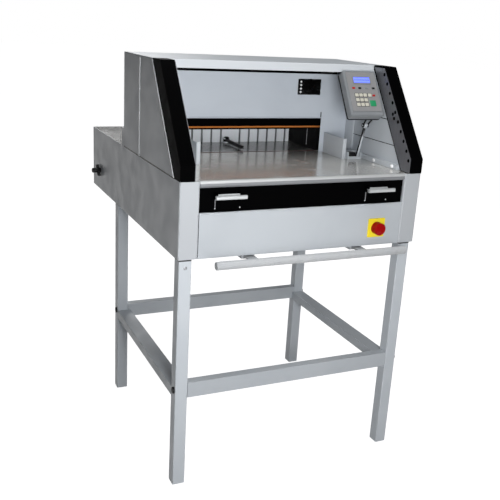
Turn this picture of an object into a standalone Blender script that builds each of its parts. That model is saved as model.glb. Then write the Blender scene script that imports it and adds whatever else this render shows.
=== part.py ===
"""Programmable paper cutter on a stand.

A stand of square tube carries a sheet-metal body with the paper tables. A head
above the tables holds the knife, the clamp and the guarded cutting throat, and a
screw-driven backgauge runs over the rear table. Units are metres, +Z is up. The
machine frame has its origin on the floor under the middle of the body's front:
X runs to the right and Y to the back.
"""

import math

import bmesh
import bpy
from mathutils import Matrix, Vector

# Driving sizes of the machine: what it cuts, and how high and deep it stands
CUT_WIDTH = 0.520
CUT_HEIGHT = 0.079
CUT_LINE = 0.443
BODY_DEPTH = 1.060
BODY_HEIGHT = 0.229
BODY_BASE = 0.754

# Fits: a touching gap, a turning or sliding clearance, and the overrun of cuts
GAP = 0.0003
RUNNING = 0.0006
OVERRUN = 0.005

# Sheet metal
SHEET = 0.003
BEND_RADIUS = 0.005
BEND_STEPS = 3

# Widths from the throat out to the body's sides
GUIDE_SPREAD = 0.014
GUIDE_FLANGE = 0.013
BRACKET_GAP = 0.003
BRACKET_WIDTH = 0.055
FENCE_GAP = 0.010
FENCE_WIDTH = 0.010
CHEEK_WIDTH = 0.045

THROAT = CUT_WIDTH / 2
GUIDE_X = THROAT + GUIDE_SPREAD
BRACKET_LEFT = GUIDE_X + GUIDE_FLANGE + BRACKET_GAP
BRACKET_RIGHT = BRACKET_LEFT + BRACKET_WIDTH
INNER = BRACKET_RIGHT + FENCE_GAP + FENCE_WIDTH
HALF = INNER + CHEEK_WIDTH

# Heights from the table up to the top of the head
EDGE_REST = 0.005
EDGE_LEFT = 0.001
EDGE_SHOW = 0.009
CARRIER_MARGIN = 0.036
CARRIER_HEADROOM = 0.022

TABLE_TOP = BODY_BASE + BODY_HEIGHT
BLADE_EDGE = TABLE_TOP + CUT_HEIGHT + EDGE_REST
KNIFE_DROP = CUT_HEIGHT + EDGE_REST - EDGE_LEFT
CARRIER_BASE = BLADE_EDGE + EDGE_SHOW
CARRIER_TOP = CARRIER_BASE + 2 * (CUT_HEIGHT + EDGE_REST) + CARRIER_MARGIN
HEAD_TOP = CARRIER_TOP + CARRIER_HEADROOM

# Stand
LEG_SIZE = 0.040
LEG_WALL = 0.003
LEG_CORNER = 0.003
LEG_SIDE_INSET = 0.007
LEG_FRONT_INSET = 0.010
REAR_LEG_SETBACK = 0.365
LEG_SCREW_DROP = 0.028
RAIL_BASE = 0.303
RAIL_HEIGHT = 0.050
RAIL_DEPTH = 0.030
RAIL_WALL = 0.003
SIDE_RAIL_BASE = 0.300
SIDE_RAIL_WIDTH = 0.050
SIDE_RAIL_HEIGHT = 0.030
SPIGOT_LENGTH = 0.045
SCREW_RADIUS = 0.003
ACCESS_RADIUS = 0.008

LEG_X = HALF - LEG_SIDE_INSET - LEG_SIZE / 2
LEG_INNER_FACE = LEG_X - LEG_SIZE / 2
LEG_OUTER_FACE = LEG_X + LEG_SIZE / 2
FRONT_LEG_Y = LEG_FRONT_INSET + LEG_SIZE / 2
REAR_LEG_FRONT = BODY_DEPTH - REAR_LEG_SETBACK
REAR_LEG_Y = REAR_LEG_FRONT + LEG_SIZE / 2
LEG_HEAD = BODY_BASE - GAP
RAIL_Z = RAIL_BASE + RAIL_HEIGHT / 2
FRONT_RAIL_Y = LEG_FRONT_INSET + RAIL_DEPTH / 2
REAR_RAIL_Y = REAR_LEG_FRONT + RAIL_DEPTH / 2
RAIL_LENGTH = 2 * (LEG_INNER_FACE - GAP)
SCREW_HOLE = SCREW_RADIUS + GAP
LEG_SCREW_Z = BODY_BASE - LEG_SCREW_DROP
SPIGOT_SIZE = LEG_SIZE - 2 * LEG_WALL - 2 * GAP

# Body shell
PILLAR_WIDTH = 0.061
PILLAR_RETURN = 0.013
REAR_RETURN = 0.015
LEVER_PANEL_HEIGHT = 0.093
LEVER_PANEL_FRONT = 0.010
LEVER_PANEL_LAP = 0.015
BASE_FRAME_INSET = 0.080
BASE_FRAME_WALL = 0.008
BASE_FRAME_MARGIN = 0.030
BASE_FRAME_RIM = 0.030
BASE_FRAME_WINDOWS = 4
INLET_INSET = 0.110
INLET_RISE = 0.046
INLET_WIDTH = 0.050
INLET_HEIGHT = 0.028
INLET_DEPTH = 0.032
INLET_RIM = 0.005
INLET_WALL = 0.006

PILLAR_INNER = HALF - PILLAR_WIDTH
INSIDE = HALF - SHEET - GAP
FRONT_INSIDE = BEND_RADIUS + GAP
BACK_INSIDE = BODY_DEPTH - BEND_RADIUS - GAP
TRAY_TOP = BODY_BASE + SHEET
FRONT_PANEL_TOP = TABLE_TOP - LEVER_PANEL_HEIGHT
BASE_FRAME_X = HALF - BASE_FRAME_INSET
INLET_X = HALF - INLET_INSET
INLET_Z = BODY_BASE + INLET_RISE

# Tables
TABLE_THICKNESS = 0.020
EDGE_DEPTH = 0.014
EDGE_RADIUS = 0.007
STICK_WIDTH = 0.014
STICK_HEIGHT = 0.014
TABLE_SPLIT = 0.017
SLOT_WIDTH = 0.016
SLOT_START = 0.057
SLOT_END = 0.030

TABLE_BOTTOM = TABLE_TOP - TABLE_THICKNESS
EDGE_BACK = EDGE_DEPTH + GAP
TABLE_JOINT = CUT_LINE + TABLE_SPLIT
ON_TABLE = TABLE_TOP + GAP

# Knife, from the cut line forward, and its stroke
BLADE_THICKNESS = 0.008
BLADE_HEIGHT = 0.078
BLADE_BEVEL = 0.006
BLADE_END = 0.030
CARRIER_DEPTH = 0.0147
CARRIER_END = 0.058
KNIFE_SHIFT = 0.020
ROLLER_RADIUS = 0.008
ROLLER_RIM = 0.012
ROLLER_HEAD = 0.003
ROLLER_RISE = 0.092
SLOT_STEPS = 8
PULL_ROD_SPREAD = 0.038
PULL_ROD_WIDTH = 0.016
PULL_ROD_LENGTH = 0.171
PULL_ROD_ROOM = 0.005

BLADE_FRONT = CUT_LINE - BLADE_THICKNESS
BLADE_TOP = BLADE_EDGE + BLADE_HEIGHT
BLADE_HALF = THROAT + BLADE_END
CARRIER_BACK = BLADE_FRONT - GAP
CARRIER_FRONT = CARRIER_BACK - CARRIER_DEPTH
CARRIER_HALF = THROAT + CARRIER_END
ROLLER_Z = CARRIER_BASE + ROLLER_RISE
PULL_ROD_X = THROAT + PULL_ROD_SPREAD
PULL_ROD_FOOT = CARRIER_BASE - PULL_ROD_LENGTH

# Clamp
CLAMP_PLAY = 0.0015
CLAMP_DEPTH = 0.031
CLAMP_HEIGHT = 0.078
CLAMP_SIDE_GAP = 0.003
CLAMP_ROD_RADIUS = 0.006
CLAMP_ROD_X = 0.150
CLAMP_HEADROOM = 0.012

CLAMP_FRONT = CUT_LINE + CLAMP_PLAY
CLAMP_BACK = CLAMP_FRONT + CLAMP_DEPTH
CLAMP_BASE = TABLE_TOP + CUT_HEIGHT
CLAMP_TOP = CLAMP_BASE + CLAMP_HEIGHT
CLAMP_ROD_TOP = HEAD_TOP - CLAMP_HEADROOM

# Head
COVER_SETBACK = 0.033
HEAD_REAR = 0.150
POST_KNEE = 0.046
POST_TOP_SETBACK = 0.202
POST_FOOT_DEPTH = 0.050
POST_TOP_DEPTH = 0.072
POST_WALL = 0.0025
PLATE_THICKNESS = 0.002
PLATE_INSET = 0.002
HOLE_RADIUS = 0.0045
HOLE_COUNT = 10
HOLE_FIRST_RISE = 0.040
HOLE_LAST_DROP = 0.0253
HOLE_SETBACK = 0.012
EXTRA_HOLE_SHIFT = 0.018
EXTRA_HOLE_SPREAD = 0.0065
CHEEK_SEAM_LEAD = 0.006
CHEEK_SEAM_WIDTH = 0.001
LIP_SETBACK = 0.061
LIP_HEIGHT = 0.026
THROAT_COVER = 0.038
COVER_DROP = 0.044
SLIT_WIDTH = 0.004
SLIT_HEIGHT = 0.021
COVER_LIP = 0.005
REAR_COVER_RISE = 0.020
GUARD_DEPTH = 0.027
GUARD_HEIGHT = 0.062
GUARD_INSET = 0.085
FENCE_HEIGHT = 0.017
FENCE_SETBACK = 0.010
FENCE_SCREW_STEPS = (0.025, 0.133)
FENCE_SCREW_RADIUS = 0.002
GUIDE_REACH_LEFT = 0.170
GUIDE_REACH_RIGHT = 0.142
GUIDE_HEIGHT = 0.070
FRAME_SPREAD = 0.0025
FRAME_WALL = 0.025
FRAME_PLAY = 0.0035
FRAME_REAR_GAP = 0.008
FRAME_FOOT = 0.090
FRAME_FOOT_HEIGHT = 0.108
FRAME_HEADROOM = 0.017
BEAM_HEIGHT = 0.073
BEAM_DEPTH = 0.0985

ON_PANEL = TABLE_TOP + GAP
UNDER_TOP = HEAD_TOP - SHEET - GAP
COVER_FRONT = CUT_LINE - COVER_SETBACK
HEAD_BACK = CUT_LINE + HEAD_REAR
POST_KNEE_Z = TABLE_TOP + POST_KNEE
POST_SLOPE = POST_TOP_SETBACK / (HEAD_TOP - POST_KNEE_Z)
HOLE_RISE = (HEAD_TOP - TABLE_TOP - HOLE_FIRST_RISE - HOLE_LAST_DROP) / (HOLE_COUNT - 1)
CHEEK_SEAM = COVER_FRONT - CHEEK_SEAM_LEAD
LIP_FRONT = POST_TOP_SETBACK + LIP_SETBACK
THROAT_TOP = BLADE_EDGE + THROAT_COVER
COVER_TOP = HEAD_TOP - COVER_DROP
GUARD_INNER = HALF - GUARD_INSET
FENCE_FRONT = POST_FOOT_DEPTH + FENCE_SETBACK
FENCE_Z = ON_TABLE + FENCE_HEIGHT / 2
GUIDE_BACK = COVER_FRONT - COVER_LIP - GAP
FRAME_INNER = THROAT + FRAME_SPREAD
FRAME_X = FRAME_INNER + FRAME_WALL / 2
FRAME_FRONT = CUT_LINE + FRAME_PLAY
FRAME_BACK = HEAD_BACK - FRAME_REAR_GAP
FRAME_FOOT_BACK = FRAME_BACK + FRAME_FOOT
FRAME_TOP = HEAD_TOP - FRAME_HEADROOM
BEAM_BASE = FRAME_TOP - BEAM_HEIGHT
BEAM_BACK = FRAME_FRONT + BEAM_DEPTH

# Backgauge
GAUGE_REST = 0.202
GAUGE_SIDE_GAP = 0.006
GAUGE_HEIGHT = 0.092
GAUGE_PLATE = 0.010
RIB_DEPTH = 0.012
RIB_PITCH = 0.038
RIB_WIDTH = 0.030
RIB_SHIFT = 0.011
CARRIAGE_WIDTH = 0.120
CARRIAGE_DEPTH = 0.034
CARRIAGE_HEIGHT = 0.026
NECK_DEPTH = 0.022
NUT_WIDTH = 0.060
NUT_DEPTH = 0.030
NUT_DROP = 0.020
SCREW_DROP = 0.048
LEAD_RADIUS = 0.010
JOURNAL_RADIUS = 0.006
LEAD_SETBACK = 0.047
LEAD_MARGIN = 0.030
BEARING_DEPTH = 0.018
BEARING_WIDTH = 0.040
BEARING_DROP = 0.017
MOTOR_LENGTH = 0.080
MOTOR_HUB_RADIUS = 0.012
MOTOR_HUB_LENGTH = 0.008
STOP_X = -0.010
STOP_LENGTH = 0.150
STOP_WIDTH = 0.008
STOP_HEIGHT = 0.009
STOP_HEAD_RADIUS = 0.012
STOP_PIN_RADIUS = 0.003
STOP_EAR_HEIGHT = 0.004
STOP_EAR_RISE = 0.001
STOP_SETBACK = 0.015

GAUGE_FRONT = CUT_LINE + GAUGE_REST
REAR_COVER_BASE = TABLE_TOP + GAUGE_HEIGHT + REAR_COVER_RISE
SCREW_Z = TABLE_TOP - SCREW_DROP
NUT_FOOT = SCREW_Z - NUT_DROP
BEARING_FOOT = SCREW_Z - BEARING_DROP
LEAD_START = CUT_LINE + LEAD_SETBACK
LEAD_END = BODY_DEPTH - LEAD_MARGIN

# Knife drive
DRIVE_SHIFT = 0.048
DRIVE_SETBACK = 0.072
DRIVE_WIDTH = 0.090
DRIVE_DEPTH = 0.110
DRIVE_HEIGHT = 0.150
DRIVE_MOTOR_RADIUS = 0.048
DRIVE_MOTOR_LENGTH = 0.150

DRIVE_X = PULL_ROD_X - DRIVE_SHIFT
DRIVE_Y = CUT_LINE + DRIVE_SETBACK

# Press bar
BAR_STANDOFF = 0.076
BAR_RADIUS = 0.0125
BAR_WALL = 0.002
BAR_INSET = 0.0915
BAR_RISE = 0.001
BAR_ARM_INSET = 0.220
BAR_ARM_SHIFT = 0.010
BAR_ARM_WIDTH = 0.030
BAR_ARM_HEIGHT = 0.006
BAR_ARM_DROP = 0.011
BAR_ARM_BACK = 0.140
BAR_GUIDE_FRONT = 0.020
BAR_GUIDE_BACK = 0.110
BAR_GUIDE_WALL = 0.006

BAR_HALF = HALF - BAR_INSET
BAR_Z = BODY_BASE + BAR_RISE
BAR_ARM_X = HALF - BAR_ARM_INSET
BAR_ARM_BASE = BODY_BASE - BAR_ARM_DROP
BAR_FRONT = BAR_STANDOFF + BAR_RADIUS

# Hand levers
LEVER_INSET = 0.1555
LEVER_SHIFT = 0.008
LEVER_WIDTH = 0.078
LEVER_EAR_DROP = 0.034
LEVER_EAR_HEIGHT = 0.019
LEVER_EAR_WALL = 0.004
LEVER_EAR_FRONT = -0.012
LEVER_PIVOT_Y = -0.004
LEVER_HUB_RADIUS = 0.006
LEVER_PIN_RADIUS = 0.0025
LEVER_WEB_HEIGHT = 0.007
LEVER_WEB_SETBACK = 0.004
GRIP_FRONT = -0.031
GRIP_DEPTH = 0.011
GRIP_HEIGHT = 0.011
GRIP_HALF = 0.048
GRIP_RADIUS = 0.003

LEVER_X = HALF - LEVER_INSET
LEVER_LEFT_X = -LEVER_X - LEVER_SHIFT
LEVER_RIGHT_X = LEVER_X - LEVER_SHIFT
LEVER_EAR_TOP = TABLE_TOP - LEVER_EAR_DROP
LEVER_EAR_BASE = LEVER_EAR_TOP - LEVER_EAR_HEIGHT
LEVER_PIVOT_Z = LEVER_EAR_TOP - LEVER_EAR_HEIGHT / 2

# Main switch
SWITCH_INSET = 0.153
SWITCH_RISE = 0.058
SWITCH_PLATE_SIZE = 0.062
SWITCH_PLATE_CORNER = 0.004
KNOB_RADIUS = 0.020
KNOB_LENGTH = 0.026
KNOB_EDGE = 0.003
SPINDLE_RADIUS = 0.004
SPINDLE_LENGTH = 0.024
SWITCH_BODY_SIZE = 0.045
SWITCH_BODY_DEPTH = 0.036

SWITCH_X = HALF - SWITCH_INSET
SWITCH_Z = BODY_BASE + SWITCH_RISE

# Control panel
PANEL_INSET = 0.0735
PANEL_LEAD = 0.0625
PANEL_DROP = 0.082
PANEL_TILT = math.atan2(0.073, 0.118)
CASE_WIDTH = 0.126
CASE_HEIGHT = 0.160
CASE_DEPTH = 0.034
CASE_DROP = 0.0045
CASE_CHAMFER = 0.004
FACE_WIDTH = 0.111
FACE_HEIGHT = 0.139
FACE_THICKNESS = 0.0015
KNUCKLE_SIDE = 0.0395
KNUCKLE_SETBACK = 0.0315
KNUCKLE_DROP = 0.115
KNUCKLE_RADIUS = 0.007
KNUCKLE_WIDTH = 0.012
HINGE_PIN_RADIUS = 0.003
YOKE_EAR = 0.004
YOKE_PRONG_RADIUS = 0.003
YOKE_PAD_WIDTH = 0.036
YOKE_PAD_HEIGHT = 0.026
YOKE_PAD_WALL = 0.003
YOKE_PAD_RISE = 0.017
ARM_RADIUS = 0.004
ARM_FOOT_SETBACK = 0.034
ARM_FOOT_RADIUS = 0.006
ARM_FOOT_HEIGHT = 0.004
BRACKET_LEAD = 0.009
BRACKET_DEPTH = 0.033
BRACKET_LIP = 0.010
BRACKET_HEIGHT = 0.025

PANEL_X = INNER - PANEL_INSET
PANEL_Y = LIP_FRONT - PANEL_LEAD
PANEL_Z = HEAD_TOP - PANEL_DROP
KNUCKLE_X = PANEL_X + KNUCKLE_SIDE
KNUCKLE_Y = PANEL_Y + KNUCKLE_SETBACK
KNUCKLE_Z = PANEL_Z - KNUCKLE_DROP
ARM_FOOT_Y = KNUCKLE_Y + ARM_FOOT_SETBACK
BRACKET_FRONT = ARM_FOOT_Y - BRACKET_LEAD
BRACKET_BACK = BRACKET_FRONT + BRACKET_DEPTH
BRACKET_END = KNUCKLE_X + ARM_FOOT_RADIUS + 2 * SHEET

# Wing latch
LATCH_SETBACK = 0.122
LATCH_RISE = 0.076
LATCH_REACH = 0.034
LATCH_HUB_RADIUS = 0.010
LATCH_WING_LENGTH = 0.050
LATCH_WING_DEPTH = 0.013
LATCH_WING_WALL = 0.012
LATCH_WING_CLEAR = 0.002
LATCH_TILT = math.radians(40)
LATCH_STEM_RADIUS = 0.004
LATCH_CAM_LENGTH = 0.032
LATCH_CAM_WIDTH = 0.010
LATCH_CAM_WALL = 0.004

LATCH_Y = BODY_DEPTH - LATCH_SETBACK
LATCH_Z = BODY_BASE + LATCH_RISE

ROUND_SIDES = 24
SMALL_SIDES = 12
SMOOTH_ANGLE = math.radians(35)
SIDES = (("left", -1), ("right", 1))
PLANES = {
    "XY": Matrix.Identity(4),
    "YZ": Matrix(((0, 0, 1, 0), (1, 0, 0, 0), (0, 1, 0, 0), (0, 0, 0, 1))),
    "XZ": Matrix(((1, 0, 0, 0), (0, 0, -1, 0), (0, 1, 0, 0), (0, 0, 0, 1))),
}
TOWARDS = {
    "+X": Matrix.Rotation(math.radians(90), 4, "Y"),
    "-X": Matrix.Rotation(math.radians(-90), 4, "Y"),
    "+Y": Matrix.Rotation(math.radians(-90), 4, "X"),
    "-Y": Matrix.Rotation(math.radians(90), 4, "X"),
    "+Z": Matrix.Identity(4),
}


# Scene, looks and placing

def clear_scene():
    for thing in list(bpy.data.objects):
        bpy.data.objects.remove(thing, do_unlink=True)


def collection(name):
    group = bpy.data.collections.new(name)
    bpy.context.scene.collection.children.link(group)
    return group


def look(name, colour, roughness, metallic=0.0):
    """A Principled material of one colour."""
    material = bpy.data.materials.new(name)
    material.use_nodes = True
    shader = material.node_tree.nodes["Principled BSDF"]
    shader.inputs["Base Color"].default_value = (*colour, 1.0)
    shader.inputs["Roughness"].default_value = roughness
    shader.inputs["Metallic"].default_value = metallic
    material.diffuse_color = (*colour, 1.0)
    return material


def machine_place(holder):
    """Where an empty lies in the machine frame: its moves added up to the root."""
    place = Vector()
    while holder.parent:
        place += holder.location
        holder = holder.parent
    return place


def empty(name, parent=None, at=(0, 0, 0)):
    holder = bpy.data.objects.new(name, None)
    PARTS.objects.link(holder)
    holder.parent = parent
    holder.location = Vector(at) - (machine_place(parent) if parent else Vector())
    return holder


def piece(name, mesh, material, parent, at=(0, 0, 0), turn=(0, 0, 0)):
    """One sub-part, placed in the machine frame under its body's empty."""
    part = bpy.data.objects.new(name, mesh)
    PARTS.objects.link(part)
    part.parent = parent
    part.location = Vector(at) - machine_place(parent)
    part.rotation_euler = turn
    mesh.materials.clear()
    mesh.materials.append(material)
    return part


def helper(mesh, parent, at=(0, 0, 0), turn=(0, 0, 0)):
    """A body that only cuts or extends another one."""
    shape = bpy.data.objects.new("helper", mesh)
    HELPERS.objects.link(shape)
    shape.parent = parent
    shape.location = Vector(at) - machine_place(parent)
    shape.rotation_euler = turn
    shape.hide_render = True
    shape.display_type = "WIRE"
    return shape


# Meshes

def finished(shape, smooth=False):
    mesh = bpy.data.meshes.new("shape")
    shape.to_mesh(mesh)
    shape.free()
    if smooth:
        mesh.shade_smooth()
        mesh.set_sharp_from_angle(angle=SMOOTH_ANGLE)
    return mesh


def box(size):
    shape = bmesh.new()
    bmesh.ops.create_cube(shape, size=1.0)
    bmesh.ops.scale(shape, vec=Vector(size), verts=shape.verts)
    return finished(shape)


def square_bar(width, height, corner):
    """An upright square bar with rounded corners."""
    shape = bmesh.new()
    bmesh.ops.create_cube(shape, size=1.0)
    bmesh.ops.scale(shape, vec=(width, width, height), verts=shape.verts)
    upright = [edge for edge in shape.edges if edge.verts[0].co.xy == edge.verts[1].co.xy]
    bmesh.ops.bevel(shape, geom=upright, offset=corner, segments=BEND_STEPS, profile=0.5,
                    affect="EDGES")
    return finished(shape, smooth=True)


def rod(radius, length, towards="+Z", sides=ROUND_SIDES):
    """A round bar centred on the origin."""
    shape = bmesh.new()
    bmesh.ops.create_cone(shape, cap_ends=True, segments=sides,
                          radius1=radius, radius2=radius, depth=length)
    bmesh.ops.transform(shape, matrix=TOWARDS[towards], verts=shape.verts)
    return finished(shape, smooth=True)


def evaluated(thing):
    """The mesh of an object with its modifiers, welded; the object is removed."""
    scene_state = bpy.context.evaluated_depsgraph_get()
    mesh = bpy.data.meshes.new_from_object(thing.evaluated_get(scene_state))
    bpy.data.objects.remove(thing, do_unlink=True)
    shape = bmesh.new()
    shape.from_mesh(mesh)
    bmesh.ops.remove_doubles(shape, verts=shape.verts, dist=GAP / 10)
    shape.to_mesh(mesh)
    shape.free()
    return mesh


def drafted(data):
    """An object that lies in the scene only until its mesh is read."""
    thing = bpy.data.objects.new("draft", data)
    bpy.context.scene.collection.objects.link(thing)
    return thing


def turned(profile, towards="+Z", sides=ROUND_SIDES):
    """A lathe shape: (radius, height) points from the top down the outer side."""
    mesh = bpy.data.meshes.new("profile")
    points = [(radius, 0, height) for radius, height in profile]
    edges = [(spot, spot + 1) for spot in range(len(points) - 1)]
    mesh.from_pydata(points, edges, [])
    thing = drafted(mesh)
    spin = thing.modifiers.new("Turn", "SCREW")
    spin.steps = sides
    spin.render_steps = sides
    spin.use_merge_vertices = True
    spin.merge_threshold = GAP / 10
    solid = evaluated(thing)
    solid.transform(TOWARDS[towards])
    solid.shade_smooth()
    solid.set_sharp_from_angle(angle=SMOOTH_ANGLE)
    return solid


def curve_of(paths, width, filled):
    curve = bpy.data.curves.new("outline", "CURVE")
    curve.dimensions = "2D"
    curve.fill_mode = "BOTH" if filled else "NONE"
    curve.extrude = width / 2
    for path in paths:
        spline = curve.splines.new("POLY")
        spline.points.add(len(path) - 1)
        for corner, spot in zip(spline.points, path):
            corner.co = (spot[0], spot[1], 0, 1)
        spline.use_cyclic_u = filled
    return curve


def plate(outlines, thickness, plane="XY"):
    """A flat plate with an outer outline and holes, centred on its plane."""
    mesh = evaluated(drafted(curve_of(outlines, thickness, filled=True)))
    mesh.transform(PLANES[plane])
    return mesh


def folded(path, width, plane="XY", wall=SHEET):
    """A folded sheet: an open path with bends, given its wall on the left."""
    thing = drafted(curve_of([rounded(path, BEND_RADIUS)], width, filled=False))
    mesh = evaluated(thing)
    thing = drafted(mesh)
    thicken = thing.modifiers.new("Wall", "SOLIDIFY")
    thicken.thickness = wall
    thicken.offset = 1
    thicken.use_even_offset = True
    mesh = evaluated(thing)
    mesh.transform(PLANES[plane])
    mesh.shade_smooth()
    mesh.set_sharp_from_angle(angle=SMOOTH_ANGLE)
    return mesh


def wire(path, radius):
    """A round bar bent along a path in space, with closed ends."""
    curve = bpy.data.curves.new("wire", "CURVE")
    curve.dimensions = "3D"
    curve.bevel_depth = radius
    curve.bevel_resolution = 2
    curve.use_fill_caps = True
    spline = curve.splines.new("POLY")
    spline.points.add(len(path) - 1)
    for corner, spot in zip(spline.points, path):
        corner.co = (*spot, 1)
    mesh = evaluated(drafted(curve))
    mesh.shade_smooth()
    mesh.set_sharp_from_angle(angle=SMOOTH_ANGLE)
    return mesh


def arc(before, corner, after, radius):
    """Points of the arc that rounds one corner of a path."""
    inward = (before - corner).normalized()
    onward = (after - corner).normalized()
    half_angle = inward.angle(onward) / 2
    reach = radius / math.tan(half_angle)
    centre = corner + (inward + onward).normalized() * radius / math.sin(half_angle)
    start = corner + inward * reach - centre
    end = corner + onward * reach - centre
    first = math.atan2(start.y, start.x)
    sweep = math.atan2(start.x * end.y - start.y * end.x, start.dot(end))
    turns = [first + sweep * step / BEND_STEPS for step in range(BEND_STEPS + 1)]
    return [centre + radius * Vector((math.cos(turn), math.sin(turn))) for turn in turns]


def rounded(path, radius, closed=False):
    """A path whose corners are arcs."""
    spots = [Vector(spot) for spot in path]
    count = len(spots)
    points = []
    for spot in range(count):
        if not closed and spot in (0, count - 1):
            points.append(spots[spot])
        else:
            before, after = spots[spot - 1], spots[(spot + 1) % count]
            points += arc(before, spots[spot], after, radius)
    return points


def rectangle(width, height, centre=(0, 0)):
    x, y = centre
    return [(x - width / 2, y - height / 2), (x + width / 2, y - height / 2),
            (x + width / 2, y + height / 2), (x - width / 2, y + height / 2)]


def stamped(mesh, places):
    """Copies of one shape in one mesh, to cut several places of a piece at once."""
    shape = bmesh.new()
    for place in places:
        copy = mesh.copy()
        copy.transform(place)
        shape.from_mesh(copy)
    return finished(shape, smooth=True)


def spot(x, y, z, towards="+Z"):
    return Matrix.Translation((x, y, z)) @ TOWARDS[towards]


# Changes to a piece

def combine(part, other, operation):
    step = part.modifiers.new(operation.title(), "BOOLEAN")
    step.operation = operation
    step.solver = "EXACT"
    step.object = other
    return part


def cut(part, mesh, at=(0, 0, 0), turn=(0, 0, 0)):
    return combine(part, helper(mesh, part.parent, at, turn), "DIFFERENCE")


def join(part, mesh, at=(0, 0, 0), turn=(0, 0, 0)):
    return combine(part, helper(mesh, part.parent, at, turn), "UNION")


def soften(part, width, segments=2):
    step = part.modifiers.new("Soft edges", "BEVEL")
    step.width = width
    step.segments = segments
    step.limit_method = "ANGLE"
    return part


def between(low, high):
    """Size and middle of a box given by two corners."""
    low, high = Vector(low), Vector(high)
    return high - low, (low + high) / 2


def block(name, low, high, material, parent):
    size, middle = between(low, high)
    return piece(name, box(size), material, parent, middle)


def cut_block(part, low, high):
    size, middle = between(low, high)
    return cut(part, box(size), middle)


def join_block(part, low, high):
    size, middle = between(low, high)
    return join(part, box(size), middle)


# Stand

def make_leg(name, side, leg_y, rail_y, outward):
    """A square tube with an access hole, a rail bolt hole and a screw hole."""
    middle = (side * LEG_X, leg_y, LEG_HEAD / 2)
    bore = LEG_SIZE - 2 * LEG_WALL
    leg = piece(name, square_bar(LEG_SIZE, LEG_HEAD, LEG_CORNER), LOOKS["light_paint"], MACHINE,
                middle)
    cut(leg, box((bore, bore, LEG_HEAD + OVERRUN)), middle)
    wall_reach = LEG_WALL + OVERRUN
    cut(leg, rod(ACCESS_RADIUS, wall_reach, "+X", SMALL_SIDES),
        (side * (LEG_OUTER_FACE - LEG_WALL / 2), rail_y, RAIL_Z))
    cut(leg, rod(SCREW_HOLE, wall_reach, "+X", SMALL_SIDES),
        (side * (LEG_INNER_FACE + LEG_WALL / 2), rail_y, RAIL_Z))
    cut(leg, rod(SCREW_HOLE, wall_reach, "+Y", SMALL_SIDES),
        (side * LEG_X, leg_y + outward * (LEG_SIZE - LEG_WALL) / 2, LEG_SCREW_Z))


def make_cross_rails():
    """Closed box rails, bored along their length for the bolts in their ends."""
    size = Vector((RAIL_LENGTH, RAIL_DEPTH, RAIL_HEIGHT))
    wall = Vector((RAIL_WALL, RAIL_WALL, RAIL_WALL))
    for end, rail_y in (("front", FRONT_RAIL_Y), ("rear", REAR_RAIL_Y)):
        middle = (0, rail_y, RAIL_Z)
        rail = piece(f"rail_{end}", box(size), LOOKS["light_paint"], MACHINE, middle)
        cut(rail, box(size - 2 * wall), middle)
        cut(rail, rod(SCREW_HOLE, RAIL_LENGTH + OVERRUN, "+X", SMALL_SIDES), middle)


def make_side_rails():
    """A flat tube between the front and the rear leg of each side."""
    front = LEG_FRONT_INSET + LEG_SIZE + GAP
    back = REAR_LEG_FRONT - GAP
    outer = rectangle(SIDE_RAIL_WIDTH, SIDE_RAIL_HEIGHT)
    inner = rectangle(SIDE_RAIL_WIDTH - 2 * RAIL_WALL, SIDE_RAIL_HEIGHT - 2 * RAIL_WALL)
    for label, side in SIDES:
        piece(f"rail_{label}", plate([outer, inner], back - front, "XZ"), LOOKS["light_paint"],
              MACHINE, (side * (LEG_OUTER_FACE - SIDE_RAIL_WIDTH / 2), (front + back) / 2,
                        SIDE_RAIL_BASE + SIDE_RAIL_HEIGHT / 2))


def make_legs():
    for end, leg_y, rail_y, outward in (("front", FRONT_LEG_Y, FRONT_RAIL_Y, -1),
                                        ("rear", REAR_LEG_Y, REAR_RAIL_Y, 1)):
        for label, side in SIDES:
            make_leg(f"leg_{end}_{label}", side, leg_y, rail_y, outward)


# Body shell

def make_base_tray():
    """The bottom sheet, with spigots for the legs and slotted guides for the bar arms."""
    tray = block("base_tray", (-INSIDE, FRONT_INSIDE, BODY_BASE),
                 (INSIDE, BACK_INSIDE, TRAY_TOP), LOOKS["grey_paint"], MACHINE)
    inside_sheet = BODY_BASE + SHEET / 2
    half = SPIGOT_SIZE / 2
    for _, side in SIDES:
        near, far = sorted((side * (PILLAR_INNER - GAP), side * (PILLAR_INNER + SHEET + GAP)))
        cut_block(tray, (near, FRONT_INSIDE - OVERRUN, BODY_BASE - OVERRUN),
                  (far, PILLAR_RETURN + GAP, TRAY_TOP + OVERRUN))
        for leg_y, outward in ((FRONT_LEG_Y, -1), (REAR_LEG_Y, 1)):
            join_block(tray, (side * LEG_X - half, leg_y - half, BODY_BASE - SPIGOT_LENGTH),
                       (side * LEG_X + half, leg_y + half, inside_sheet))
            cut(tray, rod(SCREW_HOLE, SPIGOT_SIZE, "+Y", SMALL_SIDES),
                (side * LEG_X, leg_y + outward * half, LEG_SCREW_Z))
        middle = side * BAR_ARM_X + BAR_ARM_SHIFT
        wide = BAR_ARM_WIDTH / 2 + BAR_GUIDE_WALL
        join_block(tray, (middle - wide, BAR_GUIDE_FRONT, BAR_ARM_BASE - BAR_GUIDE_WALL),
                   (middle + wide, BAR_GUIDE_BACK, inside_sheet))
        slot = BAR_ARM_WIDTH / 2 + RUNNING
        cut_block(tray, (middle - slot, BAR_GUIDE_FRONT - OVERRUN, BAR_ARM_BASE - RUNNING),
                  (middle + slot, BAR_GUIDE_BACK + OVERRUN,
                   BAR_ARM_BASE + BAR_ARM_HEIGHT + RUNNING))


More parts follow.
